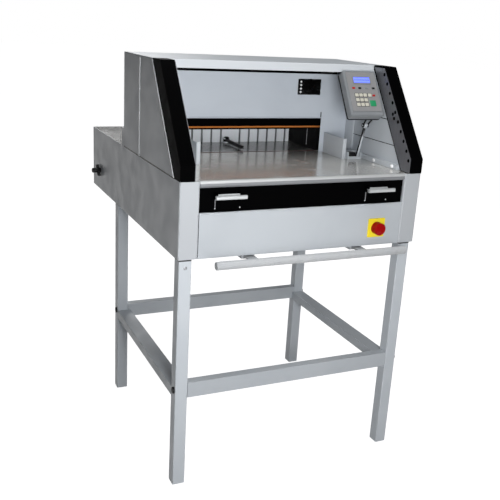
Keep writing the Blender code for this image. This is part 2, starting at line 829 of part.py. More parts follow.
def make_side_panels():
    """Each side sheet folds round the front as a pillar and a little round the back."""
    for label, side in SIDES:
        path = [(side * PILLAR_INNER, PILLAR_RETURN), (side * PILLAR_INNER, 0),
                (side * HALF, 0), (side * HALF, BODY_DEPTH),
                (side * (HALF - REAR_RETURN), BODY_DEPTH)]
        if side < 0:
            path.reverse()
        panel = piece(f"side_panel_{label}", folded(path, BODY_HEIGHT), LOOKS["grey_paint"],
                      MACHINE, (0, 0, (BODY_BASE + TABLE_TOP) / 2))
        if side < 0:
            cut(panel, rod(LATCH_STEM_RADIUS + RUNNING, SHEET + OVERRUN, "+X", SMALL_SIDES),
                (-HALF + SHEET / 2, LATCH_Y, LATCH_Z))


def make_front_panel():
    """The grey lower panel with its folded top."""
    half = PILLAR_INNER - GAP
    path = [(LEVER_PANEL_FRONT - GAP, FRONT_PANEL_TOP), (0, FRONT_PANEL_TOP), (0, BODY_BASE)]
    front = piece("front_panel", folded(path, 2 * half, "YZ"), LOOKS["light_paint"], MACHINE)
    cut(front, rod(SPINDLE_RADIUS + 2 * RUNNING, SHEET + OVERRUN, "+Y", SMALL_SIDES),
        (SWITCH_X, SHEET / 2, SWITCH_Z))


def make_lever_panel():
    """The recessed black panel with two bored ears for each hand lever."""
    half = PILLAR_INNER - GAP
    inside_sheet = LEVER_PANEL_FRONT + SHEET / 2
    panel = block("lever_panel", (-half, LEVER_PANEL_FRONT, FRONT_PANEL_TOP - LEVER_PANEL_LAP),
                  (half, LEVER_PANEL_FRONT + SHEET, TABLE_BOTTOM - GAP), LOOKS["black"], MACHINE)
    for middle in (LEVER_LEFT_X, LEVER_RIGHT_X):
        for _, end in SIDES:
            outer = middle + end * LEVER_WIDTH / 2
            low, high = sorted((outer, outer - end * LEVER_EAR_WALL))
            join_block(panel, (low, LEVER_EAR_FRONT, LEVER_EAR_BASE),
                       (high, inside_sheet, LEVER_EAR_TOP))
    bore = rod(LEVER_PIN_RADIUS + RUNNING, 2 * (LEVER_X + LEVER_WIDTH), "+X", SMALL_SIDES)
    cut(panel, bore, (0, LEVER_PIVOT_Y, LEVER_PIVOT_Z))


def make_rear_panel():
    half = HALF - REAR_RETURN - GAP
    panel = block("rear_panel", (-half, BODY_DEPTH - SHEET, BODY_BASE),
                  (half, BODY_DEPTH, TABLE_TOP), LOOKS["grey_paint"], MACHINE)
    cut(panel, box((INLET_WIDTH, SHEET + OVERRUN, INLET_HEIGHT)),
        (INLET_X, BODY_DEPTH - SHEET / 2, INLET_Z))


def make_power_inlet():
    """A flush socket body in the rear panel, held by a rim behind it."""
    back = BODY_DEPTH - INLET_DEPTH
    width, height = INLET_WIDTH / 2 - GAP, INLET_HEIGHT / 2 - GAP
    inlet = block("power_inlet", (INLET_X - width, back, INLET_Z - height),
                  (INLET_X + width, BODY_DEPTH, INLET_Z + height), LOOKS["black"], MACHINE)
    rim_front = BODY_DEPTH - SHEET - GAP
    join_block(inlet, (INLET_X - width - INLET_RIM, rim_front - SHEET,
                       INLET_Z - height - INLET_RIM),
               (INLET_X + width + INLET_RIM, rim_front, INLET_Z + height + INLET_RIM))
    cut_block(inlet, (INLET_X - width + INLET_WALL, back + INLET_WALL,
                      INLET_Z - height + INLET_WALL),
              (INLET_X + width - INLET_WALL, BODY_DEPTH + OVERRUN,
               INLET_Z + height - INLET_WALL))


def make_base_frames():
    """Upright plates with windows that carry the tables on the tray."""
    front, back = BASE_FRAME_MARGIN, BODY_DEPTH - BASE_FRAME_MARGIN
    low, high = TRAY_TOP + GAP, TABLE_BOTTOM - GAP
    pitch = (back - front - BASE_FRAME_RIM) / BASE_FRAME_WINDOWS
    outlines = [rectangle(back - front, high - low, ((front + back) / 2, (low + high) / 2))]
    for window in range(BASE_FRAME_WINDOWS):
        centre = front + BASE_FRAME_RIM / 2 + (window + 0.5) * pitch
        outlines.append(rectangle(pitch - BASE_FRAME_RIM, high - low - 2 * BASE_FRAME_RIM,
                                  (centre, (low + high) / 2)))
    for label, side in SIDES:
        piece(f"base_frame_{label}", plate(outlines, BASE_FRAME_WALL, "YZ"),
              LOOKS["dark_paint"], MACHINE, (side * (BASE_FRAME_X + BASE_FRAME_WALL / 2), 0, 0))


# Tables

def make_table_edge():
    """The bright edge profile between the pillars, round at the front."""
    middle = (TABLE_TOP + TABLE_BOTTOM) / 2
    low, high = TABLE_BOTTOM, TABLE_TOP
    upper = arc(Vector((EDGE_DEPTH, high)), Vector((0, high)), Vector((0, middle)), EDGE_RADIUS)
    lower = arc(Vector((0, middle)), Vector((0, low)), Vector((EDGE_DEPTH, low)), EDGE_RADIUS)
    outline = [(EDGE_DEPTH, high)] + upper + lower + [(EDGE_DEPTH, low)]
    piece("table_edge", plate([outline], 2 * (PILLAR_INNER - GAP), "YZ"), LOOKS["aluminium"],
          MACHINE)


def make_front_table():
    """The table in front of the knife, with the groove of the cut stick."""
    nose = PILLAR_INNER + SHEET + GAP
    outline = [(-INSIDE, FRONT_INSIDE), (-nose, FRONT_INSIDE), (-nose, EDGE_BACK),
               (nose, EDGE_BACK), (nose, FRONT_INSIDE), (INSIDE, FRONT_INSIDE),
               (INSIDE, TABLE_JOINT - GAP), (-INSIDE, TABLE_JOINT - GAP)]
    table = piece("front_table", plate([outline], TABLE_THICKNESS), LOOKS["table"], MACHINE,
                  (0, 0, (TABLE_TOP + TABLE_BOTTOM) / 2))
    stick_half = STICK_WIDTH / 2 + GAP
    cut_block(table, (-THROAT - GAP, CUT_LINE - stick_half, TABLE_TOP - STICK_HEIGHT - GAP),
              (THROAT + GAP, CUT_LINE + stick_half, TABLE_TOP + OVERRUN))
    rod_half = PULL_ROD_WIDTH / 2 + PULL_ROD_ROOM
    cut_block(table, (PULL_ROD_X - KNIFE_SHIFT - rod_half, CARRIER_FRONT - PULL_ROD_ROOM,
                      TABLE_BOTTOM - OVERRUN),
              (PULL_ROD_X + rod_half, CARRIER_BACK + PULL_ROD_ROOM, TABLE_TOP + OVERRUN))


def make_rear_table():
    """The table behind the knife, slotted for the carriage, with the screw's bearings."""
    table = block("rear_table", (-INSIDE, TABLE_JOINT, TABLE_BOTTOM),
                  (INSIDE, BACK_INSIDE, TABLE_TOP), LOOKS["table"], MACHINE)
    cut_block(table, (-SLOT_WIDTH / 2, CUT_LINE + SLOT_START, TABLE_BOTTOM - OVERRUN),
              (SLOT_WIDTH / 2, BODY_DEPTH - SLOT_END, TABLE_TOP + OVERRUN))
    inside_table = (TABLE_BOTTOM + TABLE_TOP) / 2
    for start in (LEAD_START - GAP - BEARING_DEPTH, LEAD_END + GAP):
        join_block(table, (-BEARING_WIDTH / 2, start, BEARING_FOOT),
                   (BEARING_WIDTH / 2, start + BEARING_DEPTH, inside_table))
    length = LEAD_END - LEAD_START + 2 * BEARING_DEPTH + OVERRUN
    cut(table, rod(JOURNAL_RADIUS + RUNNING, length, "+Y"),
        (0, (LEAD_START + LEAD_END) / 2, SCREW_Z))


def make_cut_stick():
    half = STICK_WIDTH / 2
    block("cut_stick", (-THROAT, CUT_LINE - half, TABLE_TOP - STICK_HEIGHT),
          (THROAT, CUT_LINE + half, TABLE_TOP), LOOKS["stick"], MACHINE)


# Head

def slope_y(height, setback=0.0):
    """Depth of the post's slanted front line at a height, moved back by a setback."""
    return POST_SLOPE * max(height - POST_KNEE_Z, 0) + setback


def post_outline(shift=0.0, low=ON_PANEL, high=HEAD_TOP, deeper=0.0):
    """Side outline of a post: upright foot, slanted front and slanted rear edge."""
    foot_back = POST_FOOT_DEPTH + deeper
    top_back = slope_y(HEAD_TOP) + POST_TOP_DEPTH + deeper
    rear_slope = (top_back - foot_back) / (HEAD_TOP - TABLE_TOP)
    rear = foot_back + rear_slope * (high - TABLE_TOP)
    return [(shift, low), (shift, POST_KNEE_Z), (slope_y(high, shift), high),
            (rear + shift, high), (foot_back + shift, TABLE_TOP), (foot_back + shift, low)]


def rear_line(height):
    """Depth of the post's rear edge at a height."""
    rise = (height - TABLE_TOP) / (HEAD_TOP - TABLE_TOP)
    top_back = slope_y(HEAD_TOP) + POST_TOP_DEPTH
    return POST_FOOT_DEPTH + (top_back - POST_FOOT_DEPTH) * max(rise, 0)


def make_post_covers():
    """Black channels, open at the back and below, in front of each cheek."""
    for label, side in SIDES:
        at = (side * (HALF + INNER) / 2, 0, 0)
        post = piece(f"post_cover_{label}", plate([post_outline()], CHEEK_WIDTH, "YZ"),
                     LOOKS["black"], MACHINE, at)
        hollow = post_outline(shift=POST_WALL, low=ON_PANEL - OVERRUN, deeper=OVERRUN,
                              high=HEAD_TOP - POST_WALL)
        cut(post, plate([hollow], CHEEK_WIDTH - 2 * POST_WALL, "YZ"), at)


def make_curtain_plates():
    """Silver plates with a row of light-curtain holes on the posts' inner sides."""
    low, high = ON_PANEL + PLATE_INSET, UNDER_TOP - PLATE_INSET
    front = PLATE_INSET
    outline = [(front, low), (front, POST_KNEE_Z), (slope_y(high, front), high),
               (LIP_FRONT - PLATE_INSET, high), (rear_line(low) - 2 * PLATE_INSET, low)]
    heights = [TABLE_TOP + HOLE_FIRST_RISE + hole * HOLE_RISE for hole in range(HOLE_COUNT)]
    holes = [spot(0, slope_y(height, HOLE_SETBACK), height) for height in heights]
    extra_z = (heights[0] + heights[-1]) / 2
    for height in (extra_z - EXTRA_HOLE_SPREAD, extra_z + EXTRA_HOLE_SPREAD):
        holes.append(spot(0, slope_y(height, HOLE_SETBACK + EXTRA_HOLE_SHIFT), height))
    drill = rod(HOLE_RADIUS, PLATE_THICKNESS + OVERRUN, "+X", SMALL_SIDES)
    for label, side in SIDES:
        middle = side * (INNER - GAP - PLATE_THICKNESS / 2)
        sheet = piece(f"curtain_plate_{label}", plate([outline], PLATE_THICKNESS, "YZ"),
                      LOOKS["steel"], MACHINE, (middle, 0, 0))
        cut(sheet, stamped(drill, holes), (middle, 0, 0))


def make_cheeks():
    """Outer side sheets of the head, each with the low guard box behind it."""
    low, high = ON_PANEL, UNDER_TOP
    outline = [(rear_line(low) + GAP, low), (HEAD_BACK, low), (HEAD_BACK, high),
               (rear_line(high) + GAP, high)]
    guard_front, guard_back = HEAD_BACK - SHEET, HEAD_BACK + GUARD_DEPTH
    guard_top = low + GUARD_HEIGHT
    for label, side in SIDES:
        cheek = piece(f"cheek_{label}", plate([outline], SHEET, "YZ"), LOOKS["grey_paint"],
                      MACHINE, (side * (HALF - SHEET / 2), 0, 0))
        seam = HALF - SHEET / 2
        near, far = sorted((side * seam, side * (HALF + OVERRUN)))
        cut_block(cheek, (near, CHEEK_SEAM - CHEEK_SEAM_WIDTH / 2, low - OVERRUN),
                  (far, CHEEK_SEAM + CHEEK_SEAM_WIDTH / 2, high + OVERRUN))
        near, far = sorted((side * GUARD_INNER, side * HALF))
        join_block(cheek, (near, guard_front, low), (far, guard_back, guard_top))
        near, far = sorted((side * (GUARD_INNER + SHEET), side * (HALF - SHEET)))
        cut_block(cheek, (near, guard_front - OVERRUN, low - OVERRUN),
                  (far, guard_back - SHEET, guard_top - SHEET))


def make_inner_walls():
    """Inner side sheets of the head, from the posts back to the knife cover."""
    low, high = ON_TABLE, UNDER_TOP
    outline = [(rear_line(low) + GAP, low), (COVER_FRONT - GAP, low), (COVER_FRONT - GAP, high),
               (rear_line(high) + GAP, high)]
    for label, side in SIDES:
        piece(f"inner_wall_{label}", plate([outline], SHEET, "YZ"), LOOKS["light_paint"],
              MACHINE, (side * (INNER + SHEET / 2), 0, 0))


def make_top_cover():
    """The top sheet with a lip folded down between the posts."""
    half = INNER - GAP
    under = HEAD_TOP - SHEET
    post_back = rear_line(HEAD_TOP) + GAP
    cover = block("top_cover", (-HALF, post_back, under), (HALF, HEAD_BACK, HEAD_TOP),
                  LOOKS["light_paint"], MACHINE)
    join_block(cover, (-half, LIP_FRONT, under), (half, post_back + OVERRUN, HEAD_TOP))
    join_block(cover, (-half, LIP_FRONT, HEAD_TOP - LIP_HEIGHT),
               (half, LIP_FRONT + SHEET, HEAD_TOP - SHEET / 2))


def make_rear_cover():
    half = HALF - SHEET - GAP
    block("rear_cover", (-half, HEAD_BACK - SHEET, REAR_COVER_BASE), (half, HEAD_BACK, UNDER_TOP),
          LOOKS["grey_paint"], MACHINE)


def make_knife_cover():
    """The upright panel in front of the knife, cut out for the throat."""
    half = INNER - GAP
    slit_left, slit_top = THROAT - SLIT_WIDTH, THROAT_TOP + SLIT_HEIGHT
    outline = [(-half, ON_TABLE), (-THROAT, ON_TABLE), (-THROAT, THROAT_TOP),
               (slit_left, THROAT_TOP), (slit_left, slit_top), (THROAT, slit_top),
               (THROAT, ON_TABLE), (half, ON_TABLE), (half, COVER_TOP), (-half, COVER_TOP)]
    cover = piece("knife_cover", plate([outline], SHEET, "XZ"), LOOKS["light_paint"], MACHINE,
                  (0, COVER_FRONT + SHEET / 2, 0))
    join_block(cover, (-THROAT, COVER_FRONT - COVER_LIP, THROAT_TOP),
               (slit_left, COVER_FRONT + SHEET / 2, THROAT_TOP + SHEET))


def make_fence_bars():
    """Low bars along the inner walls, bored for their screws."""
    outer = INNER - GAP
    size = (FENCE_WIDTH, GUIDE_BACK - FENCE_FRONT, FENCE_HEIGHT)
    for label, side in SIDES:
        fence = piece(f"fence_bar_{label}", box(size), LOOKS["light_paint"], MACHINE,
                      (side * (outer - FENCE_WIDTH / 2), (FENCE_FRONT + GUIDE_BACK) / 2, FENCE_Z))
        holes = [spot(side * (outer - FENCE_WIDTH), FENCE_FRONT + step, FENCE_Z, "+X")
                 for step in FENCE_SCREW_STEPS]
        cut(fence, stamped(rod(FENCE_SCREW_RADIUS, FENCE_WIDTH, "+Z", SMALL_SIDES), holes))


def make_side_guides():
    """Upright guide sheets before the throat, each with its flange turned to the right."""
    for label, side, reach in (("left", -1, GUIDE_REACH_LEFT), ("right", 1, GUIDE_REACH_RIGHT)):
        web, front = side * GUIDE_X, COVER_FRONT - reach
        path = [(web, GUIDE_BACK), (web, front), (web + GUIDE_FLANGE, front)]
        piece(f"side_guide_{label}", folded(path, GUIDE_HEIGHT), LOOKS["light_paint"], MACHINE,
              (0, 0, ON_TABLE + GUIDE_HEIGHT / 2))


def make_head_frames():
    """Upright plates at the ends of the knife, each with the roller that guides it."""
    foot_top = ON_TABLE + FRAME_FOOT_HEIGHT
    outline = [(FRAME_FRONT, ON_TABLE), (FRAME_FOOT_BACK, ON_TABLE), (FRAME_FOOT_BACK, foot_top),
               (FRAME_BACK, foot_top), (FRAME_BACK, FRAME_TOP), (FRAME_FRONT, FRAME_TOP)]
    front, back = CARRIER_FRONT - GAP, CARRIER_BACK + GAP
    seat = FRAME_FRONT + OVERRUN
    profile = [(0, ROLLER_HEAD), (ROLLER_RIM, ROLLER_HEAD), (ROLLER_RIM, 0), (ROLLER_RADIUS, 0),
               (ROLLER_RADIUS, front - back), (ROLLER_RIM, front - back),
               (ROLLER_RIM, front - seat), (0, front - seat)]
    for label, side in SIDES:
        frame = piece(f"head_frame_{label}", plate([outline], FRAME_WALL, "YZ"),
                      LOOKS["dark_paint"], MACHINE, (side * FRAME_X, 0, 0))
        join(frame, turned(profile, "-Y"), (side * FRAME_X, front, ROLLER_Z))


def make_head_beam():
    """A beam between the head frames, bored for the clamp rods."""
    half = FRAME_INNER - GAP
    beam = block("head_beam", (-half, FRAME_FRONT, BEAM_BASE), (half, BEAM_BACK, FRAME_TOP),
                 LOOKS["dark_paint"], MACHINE)
    clamp_y = (CLAMP_FRONT + CLAMP_BACK) / 2
    for _, side in SIDES:
        bore = rod(CLAMP_ROD_RADIUS + RUNNING, FRAME_TOP - BEAM_BASE + OVERRUN)
        cut(beam, bore, (side * CLAMP_ROD_X, clamp_y, (BEAM_BASE + FRAME_TOP) / 2))


# Knife and clamp

def slot_outline(radius):
    """A round-ended slot from the roller's place at rest to its place at full stroke."""
    travel = Vector((KNIFE_SHIFT, KNIFE_DROP))
    square = travel.orthogonal().normalized() * radius
    start, end = [], []
    for step in range(SLOT_STEPS + 1):
        turn = Matrix.Rotation(math.pi * step / SLOT_STEPS, 2)
        end.append(travel + turn @ -square)
        start.append(turn @ square)
    return end + start


def make_knife_carrier():
    carrier = block("knife_carrier", (-CARRIER_HALF, CARRIER_FRONT, CARRIER_BASE),
                    (CARRIER_HALF, CARRIER_BACK, CARRIER_TOP), LOOKS["black"], KNIFE)
    outline = slot_outline(ROLLER_RADIUS + RUNNING)
    depth = CARRIER_BACK - CARRIER_FRONT + OVERRUN
    for _, side in SIDES:
        cut(carrier, plate([outline], depth, "XZ"),
            (side * FRAME_X, (CARRIER_FRONT + CARRIER_BACK) / 2, ROLLER_Z))


def make_knife_blade():
    """The blade behind the carrier, ground at the front of its lower edge."""
    outline = [(CUT_LINE, BLADE_EDGE), (CUT_LINE, BLADE_TOP), (BLADE_FRONT, BLADE_TOP),
               (BLADE_FRONT, BLADE_EDGE + BLADE_BEVEL)]
    piece("knife_blade", plate([outline], 2 * BLADE_HALF, "YZ"), LOOKS["copper"], KNIFE)


def make_pull_rod():
    half = PULL_ROD_WIDTH / 2
    block("pull_rod", (PULL_ROD_X - half, CARRIER_FRONT, PULL_ROD_FOOT),
          (PULL_ROD_X + half, CARRIER_BACK, CARRIER_BASE - GAP), LOOKS["steel"], KNIFE)


def make_clamp():
    """The clamp beam with its two upright rods."""
    half = FRAME_INNER - CLAMP_SIDE_GAP
    clamp = block("clamp_beam", (-half, CLAMP_FRONT, CLAMP_BASE), (half, CLAMP_BACK, CLAMP_TOP),
                  LOOKS["black"], CLAMP)
    middle_z = (CLAMP_BASE + CLAMP_TOP) / 2
    for _, side in SIDES:
        join(clamp, rod(CLAMP_ROD_RADIUS, CLAMP_ROD_TOP - middle_z),
             (side * CLAMP_ROD_X, (CLAMP_FRONT + CLAMP_BACK) / 2, (CLAMP_ROD_TOP + middle_z) / 2))


def make_knife_drive():
    """Gear case with its motor on the tray, beside the pull rod."""
    foot = TRAY_TOP + GAP
    half_width, half_depth = DRIVE_WIDTH / 2, DRIVE_DEPTH / 2
    drive = block("knife_drive", (DRIVE_X - half_width, DRIVE_Y - half_depth, foot),
                  (DRIVE_X + half_width, DRIVE_Y + half_depth, foot + DRIVE_HEIGHT),
                  LOOKS["dark_paint"], MACHINE)
    length = DRIVE_MOTOR_LENGTH + half_width
    join(drive, rod(DRIVE_MOTOR_RADIUS, length, "+X"),
         (DRIVE_X - length / 2, DRIVE_Y, foot + DRIVE_HEIGHT / 2))


# Backgauge

def make_backgauge_face():
    """A face grooved into ribs, two of them run together, and the hand lever's ears."""
    half = FRAME_INNER - GAUGE_SIDE_GAP
    back = GAUGE_FRONT + RIB_DEPTH + GAUGE_PLATE
    face = block("backgauge_face", (-half, GAUGE_FRONT, ON_TABLE),
                 (half, back, ON_TABLE + GAUGE_HEIGHT), LOOKS["light_paint"], GAUGE)
    width = RIB_PITCH - RIB_WIDTH
    groove = box((width, 2 * RIB_DEPTH, GAUGE_HEIGHT + OVERRUN))
    to_left = int((half + RIB_SHIFT + width / 2) / RIB_PITCH)
    to_right = int((half - RIB_SHIFT + width / 2) / RIB_PITCH)
    places = [spot(RIB_SHIFT + step * RIB_PITCH, GAUGE_FRONT, ON_TABLE + GAUGE_HEIGHT / 2)
              for step in range(-to_left, to_right + 1) if step]
    cut(face, stamped(groove, places))
    pin_y = GAUGE_FRONT - STOP_SETBACK
    low = ON_TABLE + STOP_EAR_RISE
    reach = STOP_HEAD_RADIUS / 2
    for level in (low, low + STOP_EAR_HEIGHT + STOP_HEIGHT + 2 * GAP):
        join_block(face, (STOP_X - STOP_HEAD_RADIUS, pin_y - reach, level),
                   (STOP_X + STOP_HEAD_RADIUS, GAUGE_FRONT + RIB_DEPTH / 2,
                    level + STOP_EAR_HEIGHT))
    join(face, rod(STOP_PIN_RADIUS, STOP_HEIGHT + STOP_EAR_HEIGHT + 2 * GAP, "+Z", SMALL_SIDES),
         (STOP_X, pin_y, low + STOP_EAR_HEIGHT + STOP_HEIGHT / 2 + GAP))


def make_gauge_lever():
    """A hand lever with a round head between two ears of the gauge."""
    base = ON_TABLE + STOP_EAR_RISE + STOP_EAR_HEIGHT + GAP
    pin_y = GAUGE_FRONT - STOP_SETBACK
    middle = base + STOP_HEIGHT / 2
    lever = piece("gauge_lever", rod(STOP_HEAD_RADIUS, STOP_HEIGHT), LOOKS["black"],
                  LEVER_SWING, (STOP_X, pin_y, middle))
    half = STOP_WIDTH / 2
    join_block(lever, (STOP_X - half, pin_y - STOP_LENGTH, base),
               (STOP_X + half, pin_y - STOP_PIN_RADIUS, base + STOP_HEIGHT))
    cut(lever, rod(STOP_PIN_RADIUS + RUNNING, STOP_HEIGHT + OVERRUN, "+Z", SMALL_SIDES),
        (STOP_X, pin_y, middle))


def make_gauge_carriage():
    """A foot behind the gauge face, a neck through the table slot and the screw's nut."""
    front = GAUGE_FRONT + RIB_DEPTH + GAUGE_PLATE + GAP
    back = front + CARRIAGE_DEPTH
    nut_y = front + CARRIAGE_DEPTH - NECK_DEPTH / 2
    half = CARRIAGE_WIDTH / 2
    carriage = block("gauge_carriage", (-half, front, ON_TABLE),
                     (half, back, ON_TABLE + CARRIAGE_HEIGHT), LOOKS["dark_paint"], GAUGE)
    neck = SLOT_WIDTH / 2 - RUNNING
    join_block(carriage, (-neck, nut_y - NECK_DEPTH / 2, SCREW_Z),
               (neck, nut_y + NECK_DEPTH / 2, ON_TABLE + CARRIAGE_HEIGHT / 2))
    join_block(carriage, (-NUT_WIDTH / 2, nut_y - NUT_DEPTH / 2, NUT_FOOT),
               (NUT_WIDTH / 2, nut_y + NUT_DEPTH / 2, TABLE_BOTTOM - RUNNING))
    cut(carriage, rod(LEAD_RADIUS + RUNNING, NUT_DEPTH + OVERRUN, "+Y"), (0, nut_y, SCREW_Z))


def make_gauge_screw():
    """The lead screw, with a journal at each end."""
    journal = BEARING_DEPTH + 2 * GAP
    length = LEAD_END - LEAD_START
    profile = [(0, length + journal), (JOURNAL_RADIUS, length + journal),
               (JOURNAL_RADIUS, length), (LEAD_RADIUS, length), (LEAD_RADIUS, 0),
               (JOURNAL_RADIUS, 0), (JOURNAL_RADIUS, -journal), (0, -journal)]
    piece("gauge_screw", turned(profile, "+Y"), LOOKS["steel"], GAUGE_SCREW,
          (0, LEAD_START, SCREW_Z))


def make_gauge_motor():
    """The motor in front of the screw, hung under the front table."""
    high = TABLE_BOTTOM - GAP
    half = high - SCREW_Z
    end = LEAD_START - BEARING_DEPTH - 3 * GAP
    back = end - MOTOR_HUB_LENGTH
    motor = block("gauge_motor", (-half, back - MOTOR_LENGTH, SCREW_Z - half),
                  (half, back, high), LOOKS["black"], MACHINE)
    hub = MOTOR_HUB_LENGTH + OVERRUN
    join(motor, rod(MOTOR_HUB_RADIUS, hub, "+Y"), (0, end - hub / 2, SCREW_Z))


# Press bar

def make_press_bar():
    """A tube across the front on two flat arms that slide under the tray."""
    bar = piece("press_bar", rod(BAR_RADIUS, 2 * BAR_HALF, "+X"), LOOKS["white_paint"],
                PRESS_BAR, (0, -BAR_STANDOFF, BAR_Z))
    for _, side in SIDES:
        middle = side * BAR_ARM_X + BAR_ARM_SHIFT
        join_block(bar, (middle - BAR_ARM_WIDTH / 2, -BAR_STANDOFF, BAR_ARM_BASE),
                   (middle + BAR_ARM_WIDTH / 2, BAR_ARM_BACK, BAR_ARM_BASE + BAR_ARM_HEIGHT))
    cut(bar, rod(BAR_RADIUS - BAR_WALL, 2 * BAR_HALF + OVERRUN, "+X"),
        (0, -BAR_STANDOFF, BAR_Z))


# Hand levers


def make_lever(name, middle, pivot):
    """A grip on a web, with a hub and pins that turn in the mount's ears."""
    hub_half = LEVER_WIDTH / 2 - LEVER_EAR_WALL - RUNNING
    pin_half = LEVER_WIDTH / 2 - RUNNING
    grip_back = GRIP_FRONT + GRIP_DEPTH
    grip_middle = (middle, GRIP_FRONT + GRIP_DEPTH / 2, LEVER_PIVOT_Z)
    grip_outline = rounded(rectangle(GRIP_DEPTH, GRIP_HEIGHT), GRIP_RADIUS, closed=True)
    lever = piece(name, plate([grip_outline], 2 * GRIP_HALF, "YZ"), LOOKS["aluminium"], pivot,
                  grip_middle)
    web_half = hub_half - LEVER_WEB_SETBACK
    join_block(lever, (middle - web_half, grip_back - GRIP_RADIUS,
                       LEVER_PIVOT_Z - LEVER_WEB_HEIGHT / 2),
               (middle + web_half, LEVER_PIVOT_Y, LEVER_PIVOT_Z + LEVER_WEB_HEIGHT / 2))
    at = (middle, LEVER_PIVOT_Y, LEVER_PIVOT_Z)
    join(lever, rod(LEVER_HUB_RADIUS, 2 * hub_half, "+X", SMALL_SIDES), at)
    join(lever, rod(LEVER_PIN_RADIUS, 2 * pin_half, "+X", SMALL_SIDES), at)


# Main switch

def make_switch():
    """Yellow plate, round knob with a spindle, and the switch body behind the panel."""
    outline = rounded(rectangle(SWITCH_PLATE_SIZE, SWITCH_PLATE_SIZE), SWITCH_PLATE_CORNER,
                      closed=True)
    plate_middle = -GAP - SHEET / 2
    legend = piece("switch_plate", plate([outline], SHEET, "XZ"), LOOKS["yellow"], MACHINE,
                   (SWITCH_X, plate_middle, SWITCH_Z))
    cut(legend, rod(SPINDLE_RADIUS + 2 * RUNNING, SHEET + OVERRUN, "+Y", SMALL_SIDES),
        (SWITCH_X, plate_middle, SWITCH_Z))
    seat = -SHEET - 2 * GAP
    profile = [(0, KNOB_LENGTH), (KNOB_RADIUS - KNOB_EDGE, KNOB_LENGTH),
               (KNOB_RADIUS, KNOB_LENGTH - KNOB_EDGE), (KNOB_RADIUS, 0), (SPINDLE_RADIUS, 0),
               (SPINDLE_RADIUS, -SPINDLE_LENGTH), (0, -SPINDLE_LENGTH)]
    piece("switch_knob", turned(profile, "-Y"), LOOKS["red"], SWITCH, (SWITCH_X, seat, SWITCH_Z))
    front = SHEET + GAP
    half = SWITCH_BODY_SIZE / 2
    body = block("switch_body", (SWITCH_X - half, front, SWITCH_Z - half),
                 (SWITCH_X + half, front + SWITCH_BODY_DEPTH, SWITCH_Z + half), LOOKS["black"],
                 MACHINE)
    bore_back = seat + SPINDLE_LENGTH + GAP
    depth = bore_back - front + OVERRUN
    cut(body, rod(SPINDLE_RADIUS + RUNNING, depth, "+Y", SMALL_SIDES),
        (SWITCH_X, bore_back - depth / 2, SWITCH_Z))


# Control panel

def on_panel(x, depth, rise):
    """A point given from the middle of the panel's face, in the machine frame."""
    tilt = Matrix.Rotation(-PANEL_TILT, 3, "X")
    return Vector((PANEL_X, PANEL_Y, PANEL_Z)) + tilt @ Vector((x, depth, rise))


def make_panel_case():
    tilt = (-PANEL_TILT, 0, 0)
    front = FACE_THICKNESS + GAP
    case = piece("panel_case", box((CASE_WIDTH, CASE_DEPTH, CASE_HEIGHT)), LOOKS["case"], PANEL,
                 on_panel(0, front + CASE_DEPTH / 2, -CASE_DROP), tilt)
    soften(case, CASE_CHAMFER, 1)
    piece("panel_face", box((FACE_WIDTH, FACE_THICKNESS, FACE_HEIGHT)), LOOKS["face"], PANEL,
          on_panel(0, FACE_THICKNESS / 2, 0), tilt)


def make_panel_yoke():
    """A pad on the case's back, two prongs and two ears on the hinge pin."""
    back = FACE_THICKNESS + GAP + CASE_DEPTH + GAP
    pad_rise = -CASE_DROP - CASE_HEIGHT / 2 + YOKE_PAD_RISE
    pad_x = KNUCKLE_X - PANEL_X
    pad_at = on_panel(pad_x, back + YOKE_PAD_WALL / 2, pad_rise)
    yoke = piece("panel_yoke", box((YOKE_PAD_WIDTH, YOKE_PAD_WALL, YOKE_PAD_HEIGHT)),
                 LOOKS["steel"], PANEL, pad_at, (-PANEL_TILT, 0, 0))
    ear_x = KNUCKLE_WIDTH / 2 + RUNNING + YOKE_EAR / 2
    for _, side in SIDES:
        ear = Vector((KNUCKLE_X + side * ear_x, KNUCKLE_Y, KNUCKLE_Z))
        foot = on_panel(pad_x + side * (YOKE_PAD_WIDTH / 2 - YOKE_EAR),
                        back + YOKE_PAD_WALL / 2, pad_rise)
        join(yoke, wire([foot, ear + (foot - ear).normalized() * KNUCKLE_RADIUS / 2],
                        YOKE_PRONG_RADIUS))
        join(yoke, rod(KNUCKLE_RADIUS, YOKE_EAR, "+X"), ear)
    cut(yoke, rod(HINGE_PIN_RADIUS + RUNNING, KNUCKLE_WIDTH + 2 * YOKE_EAR + OVERRUN, "+X",
                  SMALL_SIDES), (KNUCKLE_X, KNUCKLE_Y, KNUCKLE_Z))


